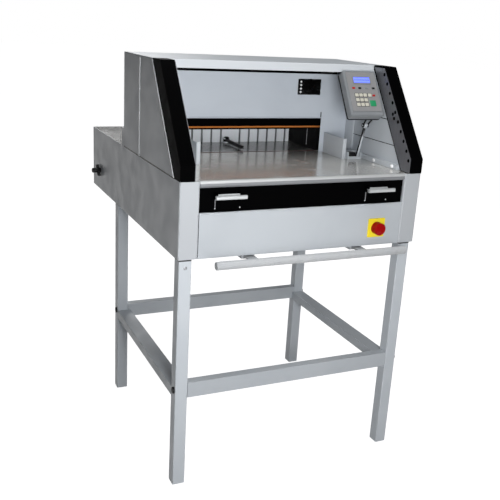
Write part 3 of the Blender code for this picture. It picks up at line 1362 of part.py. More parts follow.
def make_panel_stand():
    """An open box with a low front on the table, and the rod up to the hinge knuckle."""
    high = ON_TABLE + BRACKET_HEIGHT
    stand = block("panel_stand", (BRACKET_LEFT, BRACKET_FRONT, ON_TABLE),
                  (BRACKET_END, BRACKET_BACK, high), LOOKS["light_paint"], MACHINE)
    cut_block(stand, (BRACKET_LEFT + SHEET, BRACKET_FRONT + SHEET, ON_TABLE + SHEET),
              (BRACKET_END - SHEET, BRACKET_BACK - SHEET, high + OVERRUN))
    cut_block(stand, (BRACKET_LEFT + SHEET, BRACKET_FRONT - OVERRUN, ON_TABLE + BRACKET_LIP),
              (BRACKET_END - SHEET, BRACKET_FRONT + 2 * SHEET, high + OVERRUN))
    knuckle = Vector((KNUCKLE_X, KNUCKLE_Y, KNUCKLE_Z))
    foot = Vector((KNUCKLE_X, ARM_FOOT_Y, ON_TABLE + SHEET / 2))
    join(stand, rod(ARM_FOOT_RADIUS, SHEET + ARM_FOOT_HEIGHT), foot + Vector((0, 0, SHEET)))
    join(stand, wire([foot, knuckle], ARM_RADIUS))
    join(stand, rod(KNUCKLE_RADIUS, KNUCKLE_WIDTH, "+X"), knuckle)
    join(stand, rod(HINGE_PIN_RADIUS, KNUCKLE_WIDTH + 2 * YOKE_EAR + 2 * RUNNING, "+X",
                    SMALL_SIDES), knuckle)


# Wing latch

def make_wing_latch():
    """A hub with a slanted wing outside the left panel, and a cam on its stem inside."""
    seat = -HALF - GAP
    hub_end = LATCH_REACH - GAP
    cam_start = SHEET + 2 * GAP
    profile = [(0, hub_end), (LATCH_HUB_RADIUS, hub_end),
               (LATCH_HUB_RADIUS, 0), (LATCH_STEM_RADIUS, 0),
               (LATCH_STEM_RADIUS, -cam_start - LATCH_CAM_WALL), (0, -cam_start - LATCH_CAM_WALL)]
    latch = piece("wing_latch", turned(profile, "-X"), LOOKS["black"], LATCH,
                  (seat, LATCH_Y, LATCH_Z))
    wing_x = seat - LATCH_WING_CLEAR - LATCH_WING_DEPTH / 2
    join(latch, box((LATCH_WING_DEPTH, LATCH_WING_WALL, LATCH_WING_LENGTH)),
         (wing_x, LATCH_Y, LATCH_Z), (-LATCH_TILT, 0, 0))
    cam_left = seat + cam_start
    join_block(latch, (cam_left, LATCH_Y - LATCH_CAM_WIDTH / 2, LATCH_Z - LATCH_CAM_LENGTH / 2),
               (cam_left + LATCH_CAM_WALL, LATCH_Y + LATCH_CAM_WIDTH / 2,
                LATCH_Z + LATCH_CAM_LENGTH / 2))


# The whole machine

def make_looks():
    return {
        "light_paint": look("light_paint", (0.60, 0.63, 0.66), 0.45),
        "grey_paint": look("grey_paint", (0.42, 0.43, 0.43), 0.50),
        "white_paint": look("white_paint", (0.75, 0.76, 0.76), 0.40),
        "dark_paint": look("dark_paint", (0.03, 0.03, 0.032), 0.50),
        "black": look("black", (0.008, 0.008, 0.009), 0.35),
        "table": look("table", (0.36, 0.34, 0.31), 0.25, 1.0),
        "stick": look("stick", (0.25, 0.02, 0.02), 0.50),
        "aluminium": look("aluminium", (0.78, 0.80, 0.80), 0.30, 1.0),
        "steel": look("steel", (0.45, 0.46, 0.47), 0.30, 1.0),
        "copper": look("copper", (0.80, 0.28, 0.06), 0.30, 1.0),
        "case": look("case", (0.27, 0.29, 0.30), 0.50),
        "face": look("face", (0.56, 0.55, 0.52), 0.50),
        "yellow": look("yellow", (1.00, 0.74, 0.02), 0.45),
        "red": look("red", (0.45, 0.0, 0.01), 0.40),
    }


def make_machine():
    make_legs()
    make_cross_rails()
    make_side_rails()
    make_base_tray()
    make_side_panels()
    make_front_panel()
    make_lever_panel()
    make_rear_panel()
    make_power_inlet()
    make_base_frames()
    make_table_edge()
    make_front_table()
    make_rear_table()
    make_cut_stick()
    make_post_covers()
    make_curtain_plates()
    make_cheeks()
    make_inner_walls()
    make_top_cover()
    make_rear_cover()
    make_knife_cover()
    make_fence_bars()
    make_side_guides()
    make_head_frames()
    make_head_beam()
    make_knife_carrier()
    make_knife_blade()
    make_pull_rod()
    make_clamp()
    make_knife_drive()
    make_backgauge_face()
    make_gauge_lever()
    make_gauge_carriage()
    make_gauge_screw()
    make_gauge_motor()
    make_press_bar()
    make_lever("cut_lever_left", LEVER_LEFT_X, LEVER_LEFT)
    make_lever("cut_lever_right", LEVER_RIGHT_X, LEVER_RIGHT)
    make_switch()
    make_panel_case()
    make_panel_yoke()
    make_panel_stand()
    make_wing_latch()


clear_scene()
PARTS = collection("paper_cutter")
HELPERS = collection("helpers")
LOOKS = make_looks()
MACHINE = empty("machine", at=(LATCH_REACH / 2, (BAR_FRONT - BODY_DEPTH) / 2, 0))
KNIFE = empty("knife_slide", MACHINE, (0, CUT_LINE, BLADE_EDGE))
CLAMP = empty("clamp_slide", MACHINE, (0, (CLAMP_FRONT + CLAMP_BACK) / 2, CLAMP_BASE))
GAUGE = empty("gauge_slide", MACHINE, (0, GAUGE_FRONT, TABLE_TOP))
LEVER_SWING = empty("gauge_lever_pivot", GAUGE, (STOP_X, GAUGE_FRONT - STOP_SETBACK, TABLE_TOP))
GAUGE_SCREW = empty("gauge_screw_axis", MACHINE, (0, LEAD_START, SCREW_Z))
PRESS_BAR = empty("press_bar_slide", MACHINE, (0, -BAR_STANDOFF, BAR_Z))
LEVER_LEFT = empty("lever_left_pivot", MACHINE, (LEVER_LEFT_X, LEVER_PIVOT_Y, LEVER_PIVOT_Z))
LEVER_RIGHT = empty("lever_right_pivot", MACHINE, (LEVER_RIGHT_X, LEVER_PIVOT_Y, LEVER_PIVOT_Z))
SWITCH = empty("switch_axis", MACHINE, (SWITCH_X, 0, SWITCH_Z))
PANEL = empty("panel_hinge", MACHINE, (KNUCKLE_X, KNUCKLE_Y, KNUCKLE_Z))
LATCH = empty("latch_axis", MACHINE, (-HALF, LATCH_Y, LATCH_Z))
make_machine()
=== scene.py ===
"""Finish, small parts and studio of a programmable paper cutter on a stand.

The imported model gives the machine's own pieces. This script gives each of them its
paint, metal or plastic, softens their edges, and adds the parts that are too small
for the model: screws, plugs, lenses, keys, the display and the indicator plate.
Units are metres, +Z is up, and the front of the machine looks towards -Y.
"""

import math

import bpy
import numpy as np
from mathutils import Matrix, Vector


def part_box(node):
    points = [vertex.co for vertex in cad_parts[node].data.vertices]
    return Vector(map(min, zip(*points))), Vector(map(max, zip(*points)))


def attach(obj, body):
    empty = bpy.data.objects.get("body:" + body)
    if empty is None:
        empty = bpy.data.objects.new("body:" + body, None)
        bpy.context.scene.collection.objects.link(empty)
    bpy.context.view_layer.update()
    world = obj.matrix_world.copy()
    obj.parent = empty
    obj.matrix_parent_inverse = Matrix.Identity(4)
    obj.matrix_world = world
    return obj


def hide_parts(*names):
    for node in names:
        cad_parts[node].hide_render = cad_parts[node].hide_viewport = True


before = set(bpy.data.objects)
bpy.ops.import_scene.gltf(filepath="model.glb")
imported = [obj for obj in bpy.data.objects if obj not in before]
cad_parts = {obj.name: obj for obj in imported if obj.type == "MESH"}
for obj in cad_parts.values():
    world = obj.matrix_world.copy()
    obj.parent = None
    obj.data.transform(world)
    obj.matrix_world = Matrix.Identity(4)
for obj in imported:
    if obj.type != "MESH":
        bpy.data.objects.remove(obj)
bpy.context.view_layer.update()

bl_info = {
    "name": "Paper cutter finish",
    "version": (1, 0, 0),
    "blender": (4, 5, 0),
    "location": "3D View > Sidebar > Paper cutter",
    "description": "Finishes and small parts of a paper cutter on a stand",
    "category": "Object",
}

FRONT = (0, -1, 0)
BACK = (0, 1, 0)
LEFT = (-1, 0, 0)
RIGHT = (1, 0, 0)
UP = (0, 0, 1)
SIDES = (("left", -1), ("right", 1))

# Sizes and places that aren't settings, in metres

SCREW_DROP = 0.0277
FOOT_SIZE = 0.0335
# Depth of the dark band painted as the shadow under the body at each leg's top
LEG_SHADOW_DEPTH = 0.0075
SHEET_SCREW = 0.0042

LEVER_PANEL_INSET = 0.010
LEVER_PLATE_WIDTH = 0.094
LEVER_PLATE_TOP, LEVER_PLATE_BASE = 0.0105, 0.0425
LEVER_SCREW_SHIFTS = (-0.0365, 0.042)

LATCH_TILT = math.radians(40)

SLANT_DEPTH = 0.224
CHEEK_SEAM = 0.216
WALL_SEAM_HEIGHTS = (1.057, 1.136)
WALL_CORNER = 0.055
FENCE_SCREW_STEPS = (0.025, 0.133)
INDICATOR_X, INDICATOR_Z = 0.219, 1.213
LAMP_SHIFT = 0.034
LAMP_RISES = (0.0175, 0.006, -0.006, -0.0175)
STRIP_Y, STRIP_Z = 0.024, 1.023

HOLE_COUNT = 10
HOLE_RISE, HOLE_DROP, HOLE_BACK = 0.040, 0.0253, 0.012
EXTRA_HOLE_SPREAD, EXTRA_HOLE_BACK = 0.0065, 0.030
POST_KNEE, POST_SLANT = 0.046, 0.202

FACE_RUN, FACE_CLIMB, FACE_THICKNESS = 0.073, 0.118, 0.0015
DISPLAY_RISE, DISPLAY_SHIFT = 0.1105, 0.0005
DISPLAY_COLUMNS, DISPLAY_ROWS = 16.0, 2.0
KEY_COLUMNS = (-0.0295, -0.0135, 0.0025)
KEY_ROWS = (0.057, 0.040, 0.0235)
LONE_KEY = 0.0205
TINY_ROW = 0.082


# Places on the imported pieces

def span(node):
    """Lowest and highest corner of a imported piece."""
    low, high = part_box(node)
    return np.array(low), np.array(high)


def middle(node):
    """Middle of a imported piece's box."""
    low, high = span(node)
    return (low + high) / 2


def side_x(low, high, side):
    """Where a box ends towards a side: its left end for -1, its right end for 1."""
    return low[0] if side < 0 else high[0]


def mesh_points(mesh):
    """Every corner of a mesh, as rows of one array."""
    points = np.empty(len(mesh.vertices) * 3)
    mesh.vertices.foreach_get("co", points)
    return points.reshape(-1, 3)


# Shapes: a closed surface is rings of points, worked out as one array

def skin(rings):
    """Points and faces of a closed surface.

    rings[u, v] is a point: u steps along the shape and v goes round it. Neighbouring
    rings are joined by four-sided faces, and one flat face closes each end.
    """
    steps, sides = rings.shape[:2]
    index = np.arange(steps * sides).reshape(steps, sides)
    near, far = index[:-1], index[1:]
    quads = np.stack([near, np.roll(near, -1, 1), np.roll(far, -1, 1), far], -1).reshape(-1, 4)
    faces = quads.tolist() + [index[0][::-1].tolist(), index[-1].tolist()]
    if enclosed(rings) < 0:
        faces = [face[::-1] for face in faces]
    return rings.reshape(-1, 3), faces


def enclosed(rings):
    """Signed volume: the sum of a . (b x c) / 6 over the triangles from the middle point."""
    points = rings - rings.reshape(-1, 3).mean(0)
    near, far = points[:-1], points[1:]
    near_next, far_next = np.roll(near, -1, 1), np.roll(far, -1, 1)
    first = np.einsum("uvi,uvi->", near, np.cross(near_next, far_next))
    second = np.einsum("uvi,uvi->", near, np.cross(far_next, far))
    ends = 0
    for ring, sign in ((points[0], -1), (points[-1], 1)):
        centre = np.broadcast_to(ring.mean(0), ring.shape)
        ends += sign * np.einsum("vi,vi->", centre, np.cross(ring, np.roll(ring, -1, 0)))
    return (first + second + ends) / 6


def turned(profile, sides=28):
    """Surface of revolution: (r(u) cos v, r(u) sin v, h(u)) for a profile of (r, h)."""
    profile = np.array(profile)
    angle = np.linspace(0, 2 * math.pi, sides, endpoint=False)
    radius = profile[:, :1]
    return np.stack([radius * np.cos(angle), radius * np.sin(angle),
                     profile[:, 1:] + 0 * angle], -1)


def socket_head(radius, height, socket, sides=24):
    """A domed screw head with a six-sided socket.

    The outer rings are circles, and the socket's rings are hexagons, whose radius at
    angle v is apothem / cos(v - nearest flat's angle).
    """
    angle = np.linspace(0, 2 * math.pi, sides, endpoint=False)
    flat = (angle + math.pi / 6) % (math.pi / 3) - math.pi / 6
    hexagon = socket / np.cos(flat)
    circle = np.ones(sides)
    rows = [(radius * circle, 0), (radius * circle, 0.35 * height),
            (0.93 * radius * circle, 0.72 * height), (0.75 * radius * circle, 0.93 * height),
            (1.16 * hexagon, height), (hexagon, 0.96 * height), (hexagon, 0.35 * height)]
    return np.stack([np.stack([r * np.cos(angle), r * np.sin(angle), rise * circle], -1)
                     for r, rise in rows])


def slab(width, height, corner, profile, arc=6):
    """A rounded plate or key: a rounded rectangle drawn in by an inset at each height.

    Round each corner, point = corner's centre + radius (cos v, sin v). The profile is
    rows of (inset, height), and the corner's radius shrinks with the inset.
    """
    profile = np.array(profile)
    quarter = np.linspace(0, math.pi / 2, arc)
    angle = (quarter + np.arange(4)[:, None] * math.pi / 2).ravel()
    sign_x = np.repeat([1, -1, -1, 1], arc)
    sign_y = np.repeat([1, 1, -1, -1], arc)
    inset = profile[:, :1]
    radius = np.maximum(corner - inset, 0.05 * corner)
    x = sign_x * (width / 2 - inset - radius) + radius * np.cos(angle)
    y = sign_y * (height / 2 - inset - radius) + radius * np.sin(angle)
    return np.stack([x, y, profile[:, 1:] + 0 * angle], -1)


def swept(profile, path):
    """A profile carried along a path: path(u) + p side(u) + q up(u), mitred at the bends.

    side is the path's direction turned a quarter round the path's plane normal, and up
    is that normal, so the profile's (p, q) stays square to the path.
    """
    path, profile = np.array(path, float), np.array(profile, float)
    steps = np.diff(path, axis=0)
    steps /= np.linalg.norm(steps, axis=1)[:, None]
    before, after = np.vstack([steps[:1], steps]), np.vstack([steps, steps[-1:]])
    normal = np.cross(before, after).sum(0)
    if np.linalg.norm(normal) < 1e-9:
        normal = np.cross(steps[0], (0.0, 0.0, 1.0))
        normal = normal if np.linalg.norm(normal) > 1e-6 else np.array((1.0, 0.0, 0.0))
    normal /= np.linalg.norm(normal)
    mean = before + after
    mean /= np.linalg.norm(mean, axis=1)[:, None]
    side = np.cross(normal, mean) / np.einsum("ui,ui->u", mean, after)[:, None]
    return (path[:, None] + profile[:, 0][None, :, None] * side[:, None]
            + profile[:, 1][None, :, None] * normal)


def placed(rings, at, facing=UP, upright=UP):
    """The same shape with its height along facing: at + x across + y upright + z facing."""
    normal = np.array(facing, float)
    normal /= np.linalg.norm(normal)
    upright = np.array(upright, float)
    if abs(normal @ upright) > 0.999 * np.linalg.norm(upright):
        upright = np.array((0.0, 1.0, 0.0))
    upright -= normal * (normal @ upright)
    upright /= np.linalg.norm(upright)
    return rings @ np.stack([np.cross(upright, normal), upright, normal]) + np.array(at, float)


def bead(start, end, radius, sides=10):
    """A round bar: start + t (end - start) + radius (cos v across + sin v above)."""
    angle = np.linspace(0, 2 * math.pi, sides, endpoint=False)
    return swept(radius * np.stack([np.cos(angle), np.sin(angle)], -1), [start, end])


def cushioned(thickness, edge, steps=4):
    """Profile of a plate with a rounded front edge: a quarter circle in (inset, height)."""
    angle = np.linspace(0, math.pi / 2, steps)
    rows = np.stack([edge * (1 - np.cos(angle)), thickness - edge + edge * np.sin(angle)], -1)
    return np.vstack([[(0, 0)], rows])


def new_piece(name, shells, look, body="machine", sharp=38):
    """One object made of closed surfaces, smooth except along its sharp edges."""
    made = [skin(rings) for rings in shells]
    points = np.vstack([shell[0] for shell in made])
    starts = np.cumsum([0] + [len(shell[0]) for shell in made[:-1]]).tolist()
    faces = [[start + corner for corner in face]
             for start, shell in zip(starts, made) for face in shell[1]]
    mesh = bpy.data.meshes.new(name)
    mesh.from_pydata(points.tolist(), [], faces)
    mesh.polygons.foreach_set("use_smooth", np.ones(len(faces), bool))
    mesh.set_sharp_from_angle(angle=math.radians(sharp))
    mesh.materials.append(bpy.data.materials[look])
    piece = bpy.data.objects.new(name, mesh)
    bpy.context.scene.collection.objects.link(piece)
    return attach(piece, body)


# Shader building

def add(tree, kind, inputs=None, **settings):
    """A node with its settings, and its inputs set to values or joined to sockets."""
    node = tree.nodes.new(kind)
    for key, value in settings.items():
        setattr(node, key, value)
    for key, value in (inputs or {}).items():
        if isinstance(value, bpy.types.NodeSocket):
            tree.links.new(value, node.inputs[key])
        else:
            node.inputs[key].default_value = value
    return node


def maths(tree, operation, first, second=0.0, third=None):
    inputs = {0: first, 1: second}
    if third is not None:
        inputs[2] = third
    return add(tree, "ShaderNodeMath", inputs, operation=operation).outputs[0]


def graded(tree, value, low, high, to_low=0.0, to_high=1.0):
    """A value carried smoothly from one range to another, and held at its ends."""
    return add(tree, "ShaderNodeMapRange",
               {"Value": value, "From Min": low, "From Max": high, "To Min": to_low,
                "To Max": to_high}, interpolation_type="SMOOTHSTEP").outputs["Result"]


def mixed(tree, share, first, second, blend="MIX"):
    node = add(tree, "ShaderNodeMix", {0: share}, data_type="RGBA", blend_type=blend)
    for slot, value in ((6, first), (7, second)):
        if isinstance(value, bpy.types.NodeSocket):
            tree.links.new(value, node.inputs[slot])
        else:
            node.inputs[slot].default_value = value
    return node.outputs[2]


def noise(tree, place, scale, detail=2.0, distortion=0.0):
    inputs = {"Vector": place, "Scale": scale, "Detail": detail, "Distortion": distortion}
    return add(tree, "ShaderNodeTexNoise", inputs).outputs["Fac"]


def object_place(tree, stretch=None):
    """Object coordinates, stretched along an axis for a directional grain."""
    place = add(tree, "ShaderNodeTexCoord").outputs["Object"]
    if stretch is None:
        return place
    return add(tree, "ShaderNodeVectorMath", {0: place, 1: stretch},
               operation="MULTIPLY").outputs["Vector"]


FLOAT, COLOUR, VECTOR = "NodeSocketFloat", "NodeSocketColor", "NodeSocketVector"
RESULTS = (("Colour", COLOUR), ("Roughness", FLOAT), ("Height", FLOAT))


def effect(name, inputs):
    """An empty shader group with named inputs (name, kind, value) and the three results."""
    tree = bpy.data.node_groups.new(name, "ShaderNodeTree")
    for label, kind, value in inputs:
        made = tree.interface.new_socket(label, in_out="INPUT", socket_type=kind)
        made.default_value = value
    for label, kind in RESULTS:
        tree.interface.new_socket(label, in_out="OUTPUT", socket_type=kind)
    return tree, tree.nodes.new("NodeGroupInput"), tree.nodes.new("NodeGroupOutput")


def give(tree, out, *values):
    """Join a group's colour, roughness and height to its output."""
    for (label, _), value in zip(RESULTS, values):
        tree.links.new(value, out.inputs[label])


def powder_coat_group():
    """Baked powder paint: cloudy shade, fine orange peel, and dust on upward faces."""
    tree, given, out = effect(
        "Powder coat",
        [("Paint", COLOUR, (0.6, 0.6, 0.6, 1)), ("Shade", FLOAT, 0.06), ("Gloss", FLOAT, 0.4),
         ("Peel", FLOAT, 900.0), ("Dust", FLOAT, 0.1)])
    place = object_place(tree)
    cloud = noise(tree, place, 5.0, 4.0, 0.4)
    fleck = noise(tree, place, 420.0, 3.0)
    darker = mixed(tree, 1.0, given.outputs["Paint"], (0.86, 0.87, 0.89, 1), "MULTIPLY")
    share = maths(tree, "MULTIPLY", graded(tree, cloud, 0.72, 0.28), given.outputs["Shade"])
    share = maths(tree, "ADD", share, graded(tree, fleck, 0.62, 0.5, 0.0, 0.05))
    painted = mixed(tree, share, given.outputs["Paint"], darker)
    upward = add(tree, "ShaderNodeSeparateXYZ",
                 {0: add(tree, "ShaderNodeNewGeometry").outputs["Normal"]}).outputs["Z"]
    settled = maths(tree, "MULTIPLY", graded(tree, upward, 0.5, 0.95),
                    graded(tree, noise(tree, place, 14.0, 6.0, 0.3), 0.42, 0.7))
    settled = maths(tree, "MULTIPLY", settled, given.outputs["Dust"])
    dusted = mixed(tree, settled, painted, (0.52, 0.5, 0.46, 1))
    rough = maths(tree, "ADD", given.outputs["Gloss"],
                  graded(tree, noise(tree, place, 22.0, 5.0), 0.3, 0.7, -0.05, 0.06))
    rough = maths(tree, "MULTIPLY_ADD", settled, 0.4, rough)
    peel = add(tree, "ShaderNodeTexNoise",
               {"Vector": place, "Scale": given.outputs["Peel"], "Detail": 1.5}).outputs["Fac"]
    give(tree, out, dusted, rough, peel)


def ground_group():
    """Ground or brushed metal: long fine scratches one way, with cloudy hand marks."""
    tree, given, out = effect(
        "Ground metal",
        [("Metal", COLOUR, (0.5, 0.5, 0.5, 1)), ("Along", VECTOR, (1, 1, 1)),
         ("Gloss", FLOAT, 0.3), ("Marks", FLOAT, 0.15), ("Streaks", FLOAT, 0.45)])
    place = object_place(tree)
    drawn = add(tree, "ShaderNodeVectorMath", {0: place, 1: given.outputs["Along"]},
                operation="MULTIPLY").outputs["Vector"]
    fine = noise(tree, drawn, 1.0, 4.0)
    broad = noise(tree, drawn, 0.13, 3.0)
    cloud = noise(tree, place, 7.0, 5.0, 0.6)
    darker = mixed(tree, 1.0, given.outputs["Metal"], (0.72, 0.71, 0.7, 1), "MULTIPLY")
    lines = maths(tree, "MULTIPLY", graded(tree, fine, 0.35, 0.65), given.outputs["Streaks"])
    bands = maths(tree, "MULTIPLY", graded(tree, broad, 0.4, 0.62, 0.0, 0.8),
                  given.outputs["Streaks"])
    streaked = mixed(tree, lines, given.outputs["Metal"], darker)
    streaked = mixed(tree, bands, streaked, darker)
    handled = maths(tree, "MULTIPLY", graded(tree, cloud, 0.45, 0.7), given.outputs["Marks"])
    rough = maths(tree, "ADD", given.outputs["Gloss"],
                  graded(tree, fine, 0.3, 0.7, -0.04, 0.06))
    rough = maths(tree, "ADD", rough, handled)
    marked = mixed(tree, handled, streaked, darker)
    give(tree, out, marked, rough, fine)


def moulded_group():
    """Moulded plastic: a fine leathered grain, dulled by touch in soft patches."""
    tree, given, out = effect(
        "Moulded plastic",
        [("Plastic", COLOUR, (0.5, 0.5, 0.5, 1)), ("Gloss", FLOAT, 0.4),
         ("Grain", FLOAT, 700.0)])
    place = object_place(tree)
    leather = add(tree, "ShaderNodeTexVoronoi",
                  {"Vector": place, "Scale": given.outputs["Grain"]}).outputs["Distance"]
    touch = noise(tree, place, 30.0, 5.0, 0.5)
    rough = maths(tree, "ADD", given.outputs["Gloss"],
                  graded(tree, touch, 0.35, 0.7, -0.06, 0.09))
    paler = mixed(tree, 0.12, given.outputs["Plastic"], (0.8, 0.8, 0.8, 1))
    worn = mixed(tree, graded(tree, touch, 0.55, 0.75, 0.0, 0.35), given.outputs["Plastic"],
                 paler)
    give(tree, out, worn, rough, leather)


def use_effect(tree, group, values):
    """A placed copy of a shader group with its own values."""
    node = tree.nodes.new("ShaderNodeGroup")
    node.node_tree = bpy.data.node_groups[group]
    for key, value in values.items():
        node.inputs[key].default_value = value
    return node


def finished(name, group, values, bump, metallic=0.0, coat=0.0, specular=0.5):
    """A material: one shader fed by a group, with a bump from the group's height."""
    look = bpy.data.materials.new(name)
    look.use_nodes = True
    tree = look.node_tree
    surface = tree.nodes["Principled BSDF"]
    source = use_effect(tree, group, values)
    tree.links.new(source.outputs["Colour"], surface.inputs["Base Color"])
    tree.links.new(source.outputs["Roughness"], surface.inputs["Roughness"])
    relief = add(tree, "ShaderNodeBump", {"Height": source.outputs["Height"],
                                          "Strength": bump[0], "Distance": bump[1]})
    tree.links.new(relief.outputs["Normal"], surface.inputs["Normal"])
    surface.inputs["Metallic"].default_value = metallic
    surface.inputs["Coat Weight"].default_value = coat
    surface.inputs["Specular IOR Level"].default_value = specular
    return look


def paint(name, colour, gloss=0.42, shade=0.5, peel=900.0, dust=0.12, specular=0.4):
    return finished(name, "Powder coat",
                    {"Paint": (*colour, 1), "Shade": shade, "Gloss": gloss, "Peel": peel,
                     "Dust": dust}, (0.10, 0.0004), specular=specular)


def metal(name, colour, along, gloss=0.3, marks=0.15, bump=0.06, metallic=1.0, streaks=0.45):
    return finished(name, "Ground metal",
                    {"Metal": (*colour, 1), "Along": along, "Gloss": gloss, "Marks": marks,
                     "Streaks": streaks}, (bump, 0.0002), metallic=metallic)


def plastic(name, colour, gloss=0.4, grain=700.0, bump=0.12, coat=0.0, specular=0.4):
    return finished(name, "Moulded plastic",
                    {"Plastic": (*colour, 1), "Gloss": gloss, "Grain": grain},
                    (bump, 0.0003), coat=coat, specular=specular)


def repainted(name, axis, start, end, colour):
    """Change a material's colour past a plane, fading over start to end on that axis."""
    tree = bpy.data.materials[name].node_tree
    surface = tree.nodes["Principled BSDF"]
    painted = surface.inputs["Base Color"].links[0].from_socket
    along = add(tree, "ShaderNodeSeparateXYZ", {0: object_place(tree)}).outputs[axis]
    beyond = graded(tree, along, start, end)
    tree.links.new(mixed(tree, beyond, painted, (*colour, 1)), surface.inputs["Base Color"])


def cells(tree, place, count):
    """1 in the middle of each of count equal cells, and 0 at their edges."""
    part = maths(tree, "FRACT", maths(tree, "MULTIPLY", place, count))
    away = maths(tree, "ABSOLUTE", maths(tree, "SUBTRACT", part, 0.5))
    return graded(tree, away, 0.42, 0.36)


def display_glass():
    """A lit blue display: two rows of blank character cells behind a smooth window."""
    look = bpy.data.materials.new("display")
    look.use_nodes = True
    tree = look.node_tree
    surface = tree.nodes["Principled BSDF"]
    place = add(tree, "ShaderNodeUVMap").outputs["UV"]
    split = add(tree, "ShaderNodeSeparateXYZ", {0: place})
    cell = maths(tree, "MULTIPLY", cells(tree, split.outputs["X"], DISPLAY_COLUMNS),
                 cells(tree, split.outputs["Y"], DISPLAY_ROWS))
    glow = mixed(tree, maths(tree, "MULTIPLY", cell, 0.5), (0.05, 0.06, 0.80, 1),
                 (0.30, 0.45, 1.0, 1))
    tree.links.new(glow, surface.inputs["Base Color"])
    tree.links.new(glow, surface.inputs["Emission Color"])
    surface.inputs["Emission Strength"].default_value = 1.0
    surface.inputs["Roughness"].default_value = 0.12
    surface.inputs["Coat Weight"].default_value = 0.6
    return look


# Sizes and colours that a user would change

def length(name, description, value):
    return bpy.props.FloatProperty(name=name, description=description, default=value, min=0.0,
                                   subtype="DISTANCE", unit="LENGTH", precision=5)


def tint(name, description, value):
    return bpy.props.FloatVectorProperty(name=name, description=description, default=value,
                                         size=3, min=0.0, max=1.0, subtype="COLOR")


class CutterSizes(bpy.types.PropertyGroup):
    """Sizes of the small parts"""

    edge: length("Edge", "Radius of the softened sheet edges", 0.0008)
    casting_edge: length("Casting edge", "Radius of the castings' edges", 0.002)
    screw: length("Screw", "Radius of the stand's screw heads", 0.0055)
    plug: length("Plug", "Radius of the caps over the rail bolts", 0.0105)
    key: length("Key", "Width of a small key of the keypad", 0.0135)
    seam: length("Seam", "Width of the dark lines between inner sheets", 0.0022)


class CutterColours(bpy.types.PropertyGroup):
    """Colours of the paints, metals and plastics"""

    light_paint: tint("Light paint", "Stand, front panel and knife cover", (0.55, 0.585, 0.62))
    grey_paint: tint("Grey paint", "Body sides and head sides", (0.535, 0.56, 0.59))
    white_paint: tint("White paint", "Press bar", (0.50, 0.515, 0.53))
    black_paint: tint("Black paint", "Posts, lever panel and carrier", (0.0012, 0.0012, 0.0014))
    table_metal: tint("Table", "Polished table plates", (0.82, 0.80, 0.76))
    # Painted reflection: the orange of the knife's ground strip stands for an orange reflection
    # on the steel
    knife_edge_reflection: tint("Knife edge", "Ground strip of the knife", (0.90, 0.30, 0.06))
    yellow: tint("Yellow", "Plate of the main switch", (1.0, 0.82, 0.03))
    red: tint("Red", "Knob of the main switch", (0.36, 0.001, 0.002))


def sizes():
    return bpy.context.scene.cutter_sizes


def colours():
    return bpy.context.scene.cutter_colours


def gained(colour, red, green, blue):
    """A colour with each part times its gain, and none above 1."""
    return [min(1.0, part * gain) for part, gain in zip(colour, (red, green, blue))]


# The machine's own pieces

